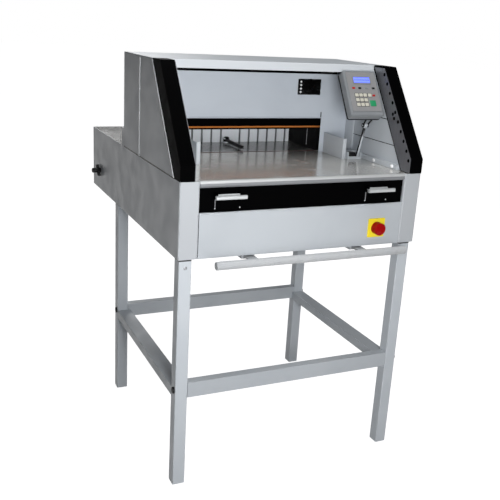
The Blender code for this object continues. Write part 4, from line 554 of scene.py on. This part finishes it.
class CUTTER_OT_finishes(bpy.types.Operator):
    """Make every paint, metal and plastic of the machine"""

    bl_idname = "cutter.finishes"
    bl_label = "Make the finishes"

    def execute(self, context):
        chosen = colours()
        for packed in list(bpy.data.materials):
            packed.name = "packed_" + packed.name
        powder_coat_group()
        ground_group()
        moulded_group()
        paint("light_paint", chosen.light_paint)
        # Painted light: a lighter, bluer copy of the light paint for the knife cover
        paint("cover_paint", gained(chosen.light_paint, 1.05, 1.07, 1.11))
        # Painted light and shadow: a lighter copy of the light paint for the legs, with a dark
        # band at their tops painted as the shadow under the body
        paint("leg_paint", gained(chosen.light_paint, 1.2, 1.2, 1.2))
        shadow_band = span("leg_front_left")[1][2] - LEG_SHADOW_DEPTH
        repainted("leg_paint", "Z", shadow_band, shadow_band + 0.0003, (0.03, 0.032, 0.034))
        # Painted highlight: near-white paint for the cheeks' beads, standing for light on their
        # edges
        paint("bead_paint", (0.88, 0.90, 0.92), gloss=0.3, dust=0.0)
        # Painted light and shade: a darker copy of the light paint for the top cover, with a
        # painted highlight on the front face of its lip
        paint("lip_paint", gained(chosen.light_paint, 0.92, 0.92, 0.92))
        lip = span("top_cover")[0][1]
        repainted("lip_paint", "Y", lip + 0.0014, lip + 0.0006, (0.74, 0.78, 0.82))
        paint("grey_paint", chosen.grey_paint, shade=0.3)
        paint("white_paint", chosen.white_paint, gloss=0.3, dust=0.0)
        paint("black_paint", chosen.black_paint, gloss=0.45, shade=0.2, dust=0.0,
              specular=0.006)
        paint("dark_casting", (0.005, 0.005, 0.0055), gloss=0.55, peel=260.0, dust=0.0,
              specular=0.05)
        metal("table_metal", chosen.table_metal, (14.0, 900.0, 900.0), gloss=0.17, marks=0.06,
              bump=0.02, metallic=0.68, streaks=0.08)
        metal("rear_metal", (0.26, 0.26, 0.255), (14.0, 900.0, 900.0), gloss=0.2, marks=0.06,
              bump=0.02, metallic=0.4, streaks=0.08)
        metal("bright_metal", (0.62, 0.645, 0.66), (30.0, 1500.0, 1500.0), gloss=0.42,
              metallic=0.4)
        metal("edge_metal", (0.66, 0.68, 0.69), (30.0, 1500.0, 1500.0), gloss=0.42,
              metallic=0.3)
        metal("gauge_metal", (0.86, 0.90, 0.95), (1400.0, 1400.0, 30.0), gloss=0.34,
              metallic=0.0, streaks=0.1)
        # Painted shade: the backgauge face turns dark grey behind the front faces of its ribs, in
        # the gaps between them
        recess_shade = span("backgauge_face")[1][1] - 0.019
        repainted("gauge_metal", "Y", recess_shade, recess_shade + 0.003, (0.20, 0.215, 0.23))
        # The front face of the table edge is coloured darker below this line; its shape has no
        # groove there
        groove = span("table_edge")[1][2] - 0.0065
        repainted("edge_metal", "Z", groove, groove - 0.0012, (0.24, 0.25, 0.265))
        metal("steel", (0.40, 0.41, 0.43), (1200.0, 40.0, 40.0), gloss=0.28)
        # Painted reflection: the knife steel takes that orange reflection as its colour
        metal("knife_steel", chosen.knife_edge_reflection, (20.0, 900.0, 900.0), gloss=0.4, metallic=0.1)
        plastic("stick_plastic", (0.07, 0.006, 0.012), gloss=0.45)
        plastic("black_plastic", (0.008, 0.008, 0.009), gloss=0.4, specular=0.2)
        plastic("case_plastic", (0.24, 0.255, 0.27), gloss=0.45, grain=900.0)
        plastic("face_plastic", (0.275, 0.275, 0.28), gloss=0.42, grain=1500.0, bump=0.05)
        plastic("yellow_plastic", chosen.yellow, gloss=0.4, bump=0.04)
        plastic("red_plastic", chosen.red, gloss=0.4, bump=0.03, specular=0.1)
        plastic("key_beige", (0.62, 0.60, 0.52), gloss=0.5, grain=1200.0, bump=0.05)
        plastic("rim_plastic", (0.10, 0.10, 0.095), gloss=0.5, bump=0.03)
        plastic("key_red", (0.45, 0.01, 0.01), gloss=0.45, bump=0.05)
        plastic("key_green", (0.02, 0.30, 0.12), gloss=0.45, bump=0.05)
        plastic("lens", (0.002, 0.002, 0.002), gloss=0.25, bump=0.0, specular=0.2)
        metal("curtain_steel", (0.22, 0.225, 0.245), (900.0, 900.0, 30.0), gloss=0.3,
              metallic=0.6, streaks=0.2)
        metal("dark_steel", (0.06, 0.062, 0.066), (600.0, 600.0, 20.0), gloss=0.2)
        plastic("lamp_white", (0.85, 0.86, 0.88), gloss=0.3, bump=0.0)
        display_glass()
        return {"FINISHED"}


class CUTTER_OT_surfaces(bpy.types.Operator):
    """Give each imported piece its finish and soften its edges"""

    bl_idname = "cutter.surfaces"
    bl_label = "Finish the machine's pieces"

    def execute(self, context):
        soft = sizes()
        for name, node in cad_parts.items():
            slot = node.material_slots[0]
            look = SPECIAL_LOOKS.get(name, slot.material.name.removeprefix("packed_"))
            slot.material = bpy.data.materials[look]
            if name in ROUND_PIECES:
                continue
            width = soft.casting_edge if look == "dark_casting" else soft.edge
            soften(node, width)
        return {"FINISHED"}


SPECIAL_LOOKS = {"curtain_plate_left": "curtain_steel", "curtain_plate_right": "curtain_steel",
                 "panel_yoke": "dark_steel", "table_edge": "edge_metal",
                 "knife_cover": "cover_paint", "top_cover": "lip_paint",
                 "rear_table": "rear_metal",
                 "leg_front_left": "leg_paint", "leg_front_right": "leg_paint",
                 "leg_rear_left": "leg_paint", "leg_rear_right": "leg_paint"}
ROUND_PIECES = ("switch_knob", "gauge_screw", "press_bar", "panel_yoke", "wing_latch",
                "curtain_plate_left", "curtain_plate_right", "panel_case", "panel_stand",
                "cut_lever_left", "cut_lever_right")


def soften(node, width):
    """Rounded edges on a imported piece, by modifiers: its own mesh stays as it is."""
    node.modifiers.new("Joined", "WELD").merge_threshold = 1e-5
    flat = node.modifiers.new("Flat faces", "DECIMATE")
    flat.decimate_type = "DISSOLVE"
    flat.angle_limit = math.radians(1)
    bevel = node.modifiers.new("Edges", "BEVEL")
    bevel.width = width
    bevel.segments = 2
    bevel.limit_method = "ANGLE"
    bevel.angle_limit = math.radians(40)
    bevel.miter_outer = "MITER_ARC"
    shading = node.modifiers.new("Shading", "WEIGHTED_NORMAL")
    shading.keep_sharp = True


# Small parts of the stand and body

def pan_head(radius, at, facing, height_share=0.5):
    head = socket_head(radius, radius * height_share, radius * 0.45)
    return placed(head, at, facing)


def countersunk(radius, at, facing):
    """A flat screw head, flush with the sheet: a thin ring groove and a round socket."""
    head = turned([(radius, -0.0006), (radius, -0.0003), (radius * 0.93, 0), (radius * 0.4, 0),
                   (radius * 0.34, -0.0005), (radius * 0.05, -0.0005)], 24)
    return placed(head, at, facing)


class CUTTER_OT_stand_fittings(bpy.types.Operator):
    """Add the leg screws, the caps over the rail bolts and the foot plugs"""

    bl_idname = "cutter.stand_fittings"
    bl_label = "Stand screws and plugs"

    def execute(self, context):
        size = sizes()
        plug = size.plug
        cap = turned([(0.7 * plug, -0.002), (0.72 * plug, 0), (plug, 0), (plug, 0.0030),
                      (0.9 * plug, 0.0044), (0.6 * plug, 0.0053), (0.2 * plug, 0.0056)])
        foot = slab(FOOT_SIZE, FOOT_SIZE, 0.002, [(0, 0.012), (0, 0.002), (0.002, 0.0004)])
        screws, caps, feet = [], [], []
        for end, facing, column in (("front", FRONT, 0), ("rear", BACK, 1)):
            rail = middle(f"rail_{end}")
            for label, side in SIDES:
                low, high = span(f"leg_{end}_{label}")
                centre = (low + high) / 2
                at = (centre[0], (low, high)[column][1], high[2] - SCREW_DROP)
                screws.append(pan_head(size.screw, at, facing))
                outer = side_x(low, high, side)
                caps.append(placed(cap, (outer, rail[1], rail[2]), (side, 0, 0)))
                feet.append(placed(foot, (centre[0], centre[1], 0)))
        new_piece("stand_screws", screws, "steel")
        new_piece("bolt_caps", caps, "black_plastic")
        new_piece("foot_plugs", feet, "black_plastic")
        return {"FINISHED"}


class CUTTER_OT_lever_mounts(bpy.types.Operator):
    """Add the mounting plates of the two hand levers, with their screws"""

    bl_idname = "cutter.lever_mounts"
    bl_label = "Lever mounts"

    def execute(self, context):
        face = span("side_panel_left")[0][1] + LEVER_PANEL_INSET
        # Thin steel strip painted as the highlight on the left edge of each lever plate
        edge = slab(0.0016, 0.044, 0.0006, cushioned(0.006, 0.0005))
        plates, edges, screws = [], [], []
        for label, _ in SIDES:
            low, high = span(f"cut_lever_{label}")
            centre = (low[0] + high[0]) / 2
            rise = (low[2] + high[2]) / 2
            top, base = rise - LEVER_PLATE_TOP, rise - LEVER_PLATE_BASE
            plate = slab(LEVER_PLATE_WIDTH, top - base, 0.003, cushioned(0.0016, 0.0006))
            plates.append(placed(plate, (centre, face, (top + base) / 2), FRONT))
            edges.append(placed(edge, (centre - 0.0375, face, rise - 0.0145), FRONT))
            for shift in LEVER_SCREW_SHIFTS:
                at = (centre + shift, face - 0.0016, base + 0.004)
                screws.append(pan_head(0.0022, at, FRONT))
        new_piece("lever_plates", plates, "black_paint")
        new_piece("lever_plate_edges", edges, "steel")
        new_piece("lever_screws", screws, "bright_metal")
        return {"FINISHED"}


class CUTTER_OT_bar_caps(bpy.types.Operator):
    """Close the ends of the press bar's tube with plastic caps"""

    bl_idname = "cutter.bar_caps"
    bl_label = "Press bar caps"

    def execute(self, context):
        low, high = span("press_bar")
        radius = (high[2] - low[2]) / 2
        centre_y = low[1] + radius
        cap = turned([(radius * 0.8, -0.010), (radius * 0.82, 0), (radius * 0.98, 0),
                      (radius * 0.98, 0.0025), (radius * 0.9, 0.0036), (radius * 0.5, 0.0042)])
        caps = [placed(cap, (x, centre_y, (low[2] + high[2]) / 2), facing)
                for x, facing in ((low[0], LEFT), (high[0], RIGHT))]
        new_piece("bar_caps", caps, "white_paint", "foot_bar")
        return {"FINISHED"}


class CUTTER_OT_body_fittings(bpy.types.Operator):
    """Add the screws of the rear panel and the rear cover"""

    bl_idname = "cutter.body_fittings"
    bl_label = "Body screws"

    def execute(self, context):
        low, high = span("rear_panel")
        rows = [(x, z) for x in np.linspace(low[0] + 0.018, high[0] - 0.018, 4)
                for z in (low[2] + 0.014, high[2] - 0.014)]
        screws = [countersunk(SHEET_SCREW, (x, high[1] - 0.0001, z), BACK) for x, z in rows]
        low, high = span("rear_cover")
        screws += [pan_head(SHEET_SCREW, (x, high[1], high[2] - 0.016), BACK, 0.4)
                   for x in np.linspace(low[0] + 0.03, high[0] - 0.03, 4)]
        new_piece("sheet_screws", screws, "steel")
        return {"FINISHED"}


class CUTTER_OT_latch_knob(bpy.types.Operator):
    """Add the rear latch: a hub with two wings, and its stem and cam behind the panel"""

    bl_idname = "cutter.latch_knob"
    bl_label = "Latch knob"

    def execute(self, context):
        low, high = span("wing_latch")
        seat = (span("side_panel_left")[0][0], (low[1] + high[1]) / 2, (low[2] + high[2]) / 2)
        cam, reach = high[0] - seat[0], seat[0] - low[0]
        hub = turned([(0.0040, -0.004), (0.0040, 0), (0.0092, 0.0003), (0.0100, 0.0020),
                      (0.0096, reach - 0.005), (0.0084, reach - 0.0015),
                      (0.0056, reach - 0.0003), (0.0010, reach)])
        wings = slab(0.012, 0.050, 0.0058, [(0.0020, 0.0022), (0, 0.0040), (0.0004, 0.0115),
                                            (0.0016, 0.0142), (0.0040, 0.0152)])
        stem = turned([(0.0040, -cam), (0.0040, 0.0012)])
        foot = slab(0.010, 0.032, 0.002, [(0, -cam), (0, 0.004 - cam)])
        upright = (0, math.sin(LATCH_TILT), math.cos(LATCH_TILT))
        knob = new_piece("latch_knob", [placed(part, seat, LEFT, upright)
                                        for part in (hub, wings, stem, foot)],
                         "black_plastic", "latch")
        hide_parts("wing_latch")
        return {"FINISHED"}


# Small parts of the head

class CUTTER_OT_curtain_lenses(bpy.types.Operator):
    """Put a dark lens in each hole of the light curtain, and a black line painted as shadow along
    its plates' rear edges
    """

    bl_idname = "cutter.curtain_lenses"
    bl_label = "Light curtain lenses"

    def execute(self, context):
        lens = turned([(0.0044, -0.0016), (0.0044, 0), (0.0056, 0), (0.0056, 0.0003),
                       (0.0048, 0.0006), (0.0010, 0.0006)])
        shadow_lines = []
        for label, side in SIDES:
            low, high = span(f"curtain_plate_{label}")
            inner = side_x(low, high, -side)
            # Black bead painted as the shadow gap between the plate's rear edge and the inner
            # wall
            shadow_lines.append(bead(*plate_rear_edge(label, inner), 0.0013))
            shells = [placed(lens, (inner, y, z), (-side, 0, 0))
                      for y, z in curtain_holes(low, high)]
            new_piece(f"curtain_lenses_{label}", shells, "black_paint")
        new_piece("curtain_joints", shadow_lines, "black_paint")
        return {"FINISHED"}


def plate_rear_edge(label, inner):
    """The two ends of a curtain plate's rear edge, on its inner face."""
    points = mesh_points(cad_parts[f"curtain_plate_{label}"].data)
    ends = []
    for height in (points[:, 2].min(), points[:, 2].max()):
        rear = points[np.abs(points[:, 2] - height) < 0.001][:, 1].max()
        ends.append((inner, rear - 0.0006, height))
    return ends


def curtain_holes(low, high):
    """Centres of the holes: evenly spaced up the post, set back by its slant."""
    table, top = low[2] - 0.0023, high[2] + 0.0053
    knee = table + POST_KNEE
    slope = POST_SLANT / (top - knee)
    heights = np.linspace(table + HOLE_RISE, top - HOLE_DROP, HOLE_COUNT)
    extra = (heights[0] + heights[-1]) / 2
    front = low[1] - 0.002
    rows = np.append(heights, (extra - EXTRA_HOLE_SPREAD, extra + EXTRA_HOLE_SPREAD))
    back = np.append(np.full(HOLE_COUNT, HOLE_BACK), (EXTRA_HOLE_BACK, EXTRA_HOLE_BACK))
    return np.stack([front + back + slope * np.maximum(rows - knee, 0), rows], -1)


class CUTTER_OT_head_fittings(bpy.types.Operator):
    """Add the indicator plate, the fence screws painted white as glints, the inner walls' trim
    and the guide strip
    """

    bl_idname = "cutter.head_fittings"
    bl_label = "Head fittings"

    def execute(self, context):
        front = span("knife_cover")[0][1] + 0.005
        plate = slab(0.090, 0.054, 0.002, cushioned(0.0015, 0.0005))
        place = (INDICATOR_X, front, INDICATOR_Z)
        new_piece("indicator_plate", [placed(plate, place, FRONT)], "lens")
        lamp = turned([(0.0036, 0), (0.0036, 0.0012), (0.0028, 0.0018), (0.001, 0.0021)], 20)
        lamps = [placed(lamp, (place[0] - LAMP_SHIFT, front - 0.0012, place[2] + rise), FRONT)
                 for rise in LAMP_RISES]
        new_piece("indicator_lamps", lamps, "lamp_white")
        screws = []
        for label, side in SIDES:
            low, high = span(f"fence_bar_{label}")
            inner = side_x(low, high, -side)
            for step in FENCE_SCREW_STEPS:
                at = (inner, low[1] + step, (low[2] + high[2]) / 2)
                screws.append(pan_head(0.0060, at, (-side, 0, 0), 0.9))
        # Painted highlight: the fence screws take the near-white lamp plastic, to show as bright
        # glints
        new_piece("fence_screws", screws, "lamp_white")
        self.wall_trim()
        left = span("head_frame_right")[0][0]
        strip = slab(0.0026, 0.060, 0.001, cushioned(0.0011, 0.0006))
        new_piece("guide_strip", [placed(strip, (left, STRIP_Y, STRIP_Z), LEFT)], "steel")
        return {"FINISHED"}

    @staticmethod
    def wall_trim():
        """Dark joints of the inner walls, and the covers over their rear corners."""
        width = sizes().seam
        seams, corners = [], []
        for label, side in SIDES:
            low, high = span(f"inner_wall_{label}")
            inner = side_x(low, high, -side)
            back = high[1] - WALL_CORNER
            for height in WALL_SEAM_HEIGHTS:
                rise = (height - low[2]) / (high[2] - low[2])
                front = low[1] + rise * SLANT_DEPTH
                line = slab(back - front, width, width / 3, cushioned(0.0005, 0.0002))
                seams.append(placed(line, (inner, (back + front) / 2, height), (-side, 0, 0)))
            cover = slab(0.0545, high[2] - low[2] - 0.030, 0.002, cushioned(0.0025, 0.0012))
            at = (inner, high[1] - WALL_CORNER / 2, (low[2] + high[2] - 0.028) / 2)
            corners.append(placed(cover, at, (-side, 0, 0)))
        new_piece("inner_seams", seams, "lens")
        new_piece("corner_covers", corners, "light_paint")


class CUTTER_OT_panel_arm(bpy.types.Operator):
    """Add the dark sleeve over the panel's arm, and a black block painted as the shade inside its
    bracket
    """

    bl_idname = "cutter.panel_arm"
    bl_label = "Panel arm"

    def execute(self, context):
        low, high = span("panel_stand")
        knuckle = middle("panel_face") + np.array((0.0395, 0.0315, -0.115))
        foot = np.array((knuckle[0], knuckle[1] + 0.034, low[2] + 0.007))
        along = (knuckle - foot) / np.linalg.norm(knuckle - foot)
        sleeve = bead(foot, knuckle - 0.0085 * along, 0.0047, 20)
        new_piece("arm_sleeve", [sleeve], "dark_steel")
        # Black block that fills the bracket's hollow as painted shade
        left, right = low[0] + 0.0033, knuckle[0] - 0.0075
        front, back = foot[1] - 0.0055, high[1] - 0.0033
        shade_block = slab(right - left, back - front, 0.002, cushioned(0.0205, 0.0012))
        new_piece("bracket_pad", [placed(shade_block, ((left + right) / 2, (front + back) / 2,
                                               low[2] + 0.0031))], "black_plastic")
        return {"FINISHED"}


class CUTTER_OT_edge_trim(bpy.types.Operator):
    """Add the cheeks' beads painted as highlights, the front panel's bead, black strips painted
    as shadow at the cheeks' feet, and the stop lever's knob
    """

    bl_idname = "cutter.edge_trim"
    bl_label = "Edge trim"

    def execute(self, context):
        highlight_beads, joints = [], []
        for label, side in SIDES:
            low, high = span(f"cheek_{label}")
            radius = 0.0024 if side < 0 else 0.0012
            outer = low[0] if side < 0 else high[0] - radius
            seam = high[1] - CHEEK_SEAM
            # Beads at the cheek's seam and front edge, painted near white as highlights
            highlight_beads.append(bead((outer, seam, low[2] + 0.002), (outer, seam, high[2] - 0.002),
                              radius))
            rear = low[1] + SLANT_DEPTH
            highlight_beads.append(bead((outer, low[1] + 0.002, low[2] + 0.002),
                              (outer, rear + 0.002, high[2] - 0.002), radius * 0.8))
            # Black strip painted as the shadow along the foot of each cheek, where it meets the
            # body
            shadow_band = slab(high[1] - low[1] - 0.03, 0.0040, 0.0008, cushioned(0.0012, 0.0002))
            at = ((low[0] + 0.0007) if side < 0 else high[0] - 0.0013,
                  (low[1] + high[1] - 0.03) / 2, low[2] + 0.0006)
            joints.append(placed(shadow_band, at, (side, 0, 0)))
        new_piece("cheek_beads", highlight_beads, "bead_paint")
        low, high = span("front_panel")
        rim = bead((low[0] + 0.001, low[1] + 0.0018, high[2] - 0.0012),
                   (high[0] - 0.001, low[1] + 0.0018, high[2] - 0.0012), 0.0022)
        new_piece("edge_beads", [rim], "light_paint")
        new_piece("foot_joints", joints, "black_plastic")
        low, high = span("gauge_lever")
        knob = turned([(0.006, -0.001), (0.0085, 0), (0.010, 0.002), (0.010, 0.005),
                       (0.008, 0.0075), (0.004, 0.0085)])
        centre = (low[0] + high[0]) / 2
        new_piece("stop_knob", [placed(knob, (centre, high[1] - 0.012, high[2]))],
                  "black_plastic", "stop_lever")
        return {"FINISHED"}


# Control panel

def on_face(across, rise, proud=0.0):
    """A point on the tilted face, from the middle of its lower edge, and its two axes."""
    low, high = span("panel_face")
    tilt = math.atan2(FACE_RUN, FACE_CLIMB)
    upslope = np.array((0, math.sin(tilt), math.cos(tilt)))
    outward = np.array((0, -math.cos(tilt), math.sin(tilt)))
    foot = np.array(((low[0] + high[0]) / 2, low[1], low[2] + FACE_THICKNESS * outward[2]))
    return foot + across * np.array(RIGHT) + rise * upslope + proud * outward, outward, upslope


class CUTTER_OT_keypad(bpy.types.Operator):
    """Add the back of the control panel's case, the display with its frame, and the keys"""

    bl_idname = "cutter.keypad"
    bl_label = "Keypad and display"

    def execute(self, context):
        key = sizes().key

        def on(shape, across, rise, proud=0.0):
            at, outward, upslope = on_face(across, rise, proud)
            return placed(shape, at, outward, upslope)

        body = "control_panel"
        shell = slab(0.1280, 0.1620, 0.008, [(0.001, 0), (0, 0.001), (0, 0.006), (0.001, 0.007)])
        new_piece("case_back", [on(shell, 0, 0.0650, -0.0358)], "black_plastic", body)
        bezel = slab(0.0700, 0.0280, 0.003, cushioned(0.0014, 0.0008))
        new_piece("display_frame", [on(bezel, DISPLAY_SHIFT, DISPLAY_RISE)], "case_plastic", body)
        window = slab(0.0615, 0.0200, 0.0012, cushioned(0.0004, 0.0002))
        glass = new_piece("display_glass", [on(window, DISPLAY_SHIFT, DISPLAY_RISE, 0.0014)],
                          "display", body)
        face_map(glass)
        domed = [(0, 0), (0.0002, 0.0009), (0.0008, 0.0014), (0.0025, 0.0017)]
        small = slab(key, 0.0115, 0.0018, domed)
        seats = [(across, rise) for rise in KEY_ROWS for across in KEY_COLUMNS]
        seats.append((LONE_KEY, KEY_ROWS[0]))
        new_piece("keys_beige", [on(small, *seat) for seat in seats], "key_beige", body)
        rim = slab(key + 0.0030, 0.0145, 0.0016, [(0, 0), (0, 0.0003), (0.0004, 0.0005)])
        new_piece("key_rims", [on(rim, *seat) for seat in seats], "rim_plastic", body)
        tiny = slab(0.0110, 0.0065, 0.0015, domed)
        new_piece("keys_black", [on(tiny, across, TINY_ROW) for across in (-0.0125, 0.0400)],
                  "black_plastic", body)
        new_piece("keys_grey", [on(tiny, 0.0135, TINY_ROW)], "case_plastic", body)
        new_piece("keys_red", [on(tiny, -0.0360, TINY_ROW), on(tiny, 0.0360, 0.056)], "key_red",
                  body)
        start = slab(0.0225, 0.0210, 0.002, domed)
        new_piece("key_start", [on(start, 0.0270, 0.0280)], "key_green", body)
        return {"FINISHED"}


def face_map(piece):
    """A flat UV map across a piece of the tilted face, from its X and Z extent."""
    mesh = piece.data
    points = mesh_points(mesh)[:, [0, 2]]
    points = (points - points.min(0)) / np.ptp(points, axis=0)
    corners = np.empty(len(mesh.loops), int)
    mesh.loops.foreach_get("vertex_index", corners)
    layer = mesh.uv_layers.new(name="UVMap")
    layer.data.foreach_set("uv", points[corners].ravel())


# Floor, light and camera

CAMERA_PLACE = (-1.0697, -2.40735, 1.4241)
CAMERA_TURN = (0.4395, 0.2990, 0.0580)
CAMERA_LENS = 53.59
SENSOR_WIDTH = 36
FLOOR_RADIUS = 30
FLOOR_SIDES = 64
WHITE = (1, 1, 1, 1)
# Name, place, aim, size in metres and power in watts
LAMPS = (("key", (-0.48, -1.85, 1.12), (0, 0, 0.95), 0.6, 18.6),
         ("low", (0.1, -3.3, 0.5), (0, 0, 0.45), 1.2, 8.8),
         ("right", (3.4, 0.6, 1.8), (0, 0, 0.8), 2.0, 36),
         ("back", (0.5, 4.2, 3.0), (0, 0, 0.8), 1.8, 36),
         ("top", (0.0, -0.55, 3.2), (0, -0.2, 0.9), 1.2, 30))


def camera_matrix(place, turn):
    """Turn the view by yaw and pitch, then roll it about its own line of sight."""
    yaw, pitch, roll = turn
    ahead = Vector((math.sin(yaw) * math.cos(pitch), math.cos(yaw) * math.cos(pitch),
                    -math.sin(pitch)))
    across = Vector((math.cos(yaw), -math.sin(yaw), 0))
    above = across.cross(ahead)
    right = math.cos(roll) * across + math.sin(roll) * above
    up = math.cos(roll) * above - math.sin(roll) * across
    turned_view = Matrix((right, up, -ahead)).transposed().to_4x4()
    return Matrix.Translation(place) @ turned_view


def floor_look():
    """Pale floor that shows white from above but keeps the machine's soft shadow."""
    look = bpy.data.materials.new("floor")
    look.use_nodes = True
    tree = look.node_tree
    surface = tree.nodes["Principled BSDF"]
    surface.inputs["Base Color"].default_value = (0.25, 0.25, 0.25, 1)
    surface.inputs["Roughness"].default_value = 0.7
    rays = add(tree, "ShaderNodeLightPath").outputs
    seen = maths(tree, "MAXIMUM", rays["Is Camera Ray"], rays["Is Glossy Ray"])
    seen = maths(tree, "MAXIMUM", seen, rays["Is Transmission Ray"])
    surface.inputs["Emission Color"].default_value = WHITE
    tree.links.new(maths(tree, "MULTIPLY", seen, 0.985), surface.inputs["Emission Strength"])
    return look


class CUTTER_OT_stage(bpy.types.Operator):
    """Set the floor, the soft light and the camera"""

    bl_idname = "cutter.stage"
    bl_label = "Stage"

    def execute(self, context):
        scene = context.scene
        mesh = bpy.data.meshes.new("floor")
        angle = np.linspace(0, 2 * math.pi, FLOOR_SIDES, endpoint=False)
        rim = FLOOR_RADIUS * np.stack([np.cos(angle), np.sin(angle), 0 * angle], -1)
        mesh.from_pydata(rim.tolist(), [], [list(range(FLOOR_SIDES))])
        mesh.materials.append(floor_look())
        floor = bpy.data.objects.new("floor", mesh)
        scene.collection.objects.link(floor)
        for lamp in LAMPS:
            self.lamp(scene, *lamp)
        self.sky(scene)
        data = bpy.data.cameras.new("photo view")
        data.lens = CAMERA_LENS
        data.sensor_width = SENSOR_WIDTH
        camera = bpy.data.objects.new("photo view", data)
        camera.matrix_world = camera_matrix(CAMERA_PLACE, CAMERA_TURN)
        scene.collection.objects.link(camera)
        scene.camera = camera
        scene.view_settings.view_transform = "Standard"
        return {"FINISHED"}

    @staticmethod
    def lamp(scene, name, place, aim, size, power):
        data = bpy.data.lights.new(name, "AREA")
        data.shape = "DISK"
        data.size = size
        data.energy = power
        lamp = bpy.data.objects.new(name, data)
        lamp.location = place
        lamp.visible_camera = False
        lamp.rotation_mode = "QUATERNION"
        lamp.rotation_quaternion = (Vector(aim) - Vector(place)).to_track_quat("-Z", "Y")
        scene.collection.objects.link(lamp)

    @staticmethod
    def sky(scene):
        """Even grey light, and white where the view or a ray through glass meets the sky."""
        world = bpy.data.worlds.new("studio")
        world.use_nodes = True
        tree = world.node_tree
        light = tree.nodes["Background"]
        rays = add(tree, "ShaderNodeLightPath").outputs
        seen = maths(tree, "MAXIMUM", rays["Is Camera Ray"], rays["Is Transmission Ray"])
        strength = add(tree, "ShaderNodeMapRange", {"Value": seen, "To Min": 0.06, "To Max": 1.0})
        light.inputs["Color"].default_value = WHITE
        tree.links.new(strength.outputs["Result"], light.inputs["Strength"])
        scene.world = world


class CUTTER_PT_panel(bpy.types.Panel):
    """Lists the steps and the sizes and colours that they use"""

    bl_idname = "CUTTER_PT_panel"
    bl_label = "Paper cutter"
    bl_space_type = "VIEW_3D"
    bl_region_type = "UI"
    bl_category = "Paper cutter"

    def draw(self, context):
        layout = self.layout
        for step in STEPS:
            layout.operator(step.bl_idname)
        for group in (context.scene.cutter_sizes, context.scene.cutter_colours):
            column = layout.column()
            for name in group.__annotations__:
                column.prop(group, name)


STEPS = (CUTTER_OT_finishes, CUTTER_OT_surfaces, CUTTER_OT_stand_fittings,
         CUTTER_OT_lever_mounts, CUTTER_OT_bar_caps, CUTTER_OT_body_fittings,
         CUTTER_OT_latch_knob, CUTTER_OT_curtain_lenses, CUTTER_OT_head_fittings,
         CUTTER_OT_panel_arm, CUTTER_OT_edge_trim, CUTTER_OT_keypad, CUTTER_OT_stage)
CLASSES = (CutterSizes, CutterColours, *STEPS, CUTTER_PT_panel)


def register():
    for item in CLASSES:
        bpy.utils.register_class(item)
    bpy.types.Scene.cutter_sizes = bpy.props.PointerProperty(type=CutterSizes)
    bpy.types.Scene.cutter_colours = bpy.props.PointerProperty(type=CutterColours)


def unregister():
    del bpy.types.Scene.cutter_colours
    del bpy.types.Scene.cutter_sizes
    for item in reversed(CLASSES):
        bpy.utils.unregister_class(item)


def main():
    register()
    for step in STEPS:
        group, name = step.bl_idname.split(".")
        getattr(getattr(bpy.ops, group), name)()


if __name__ == "__main__":
    main()
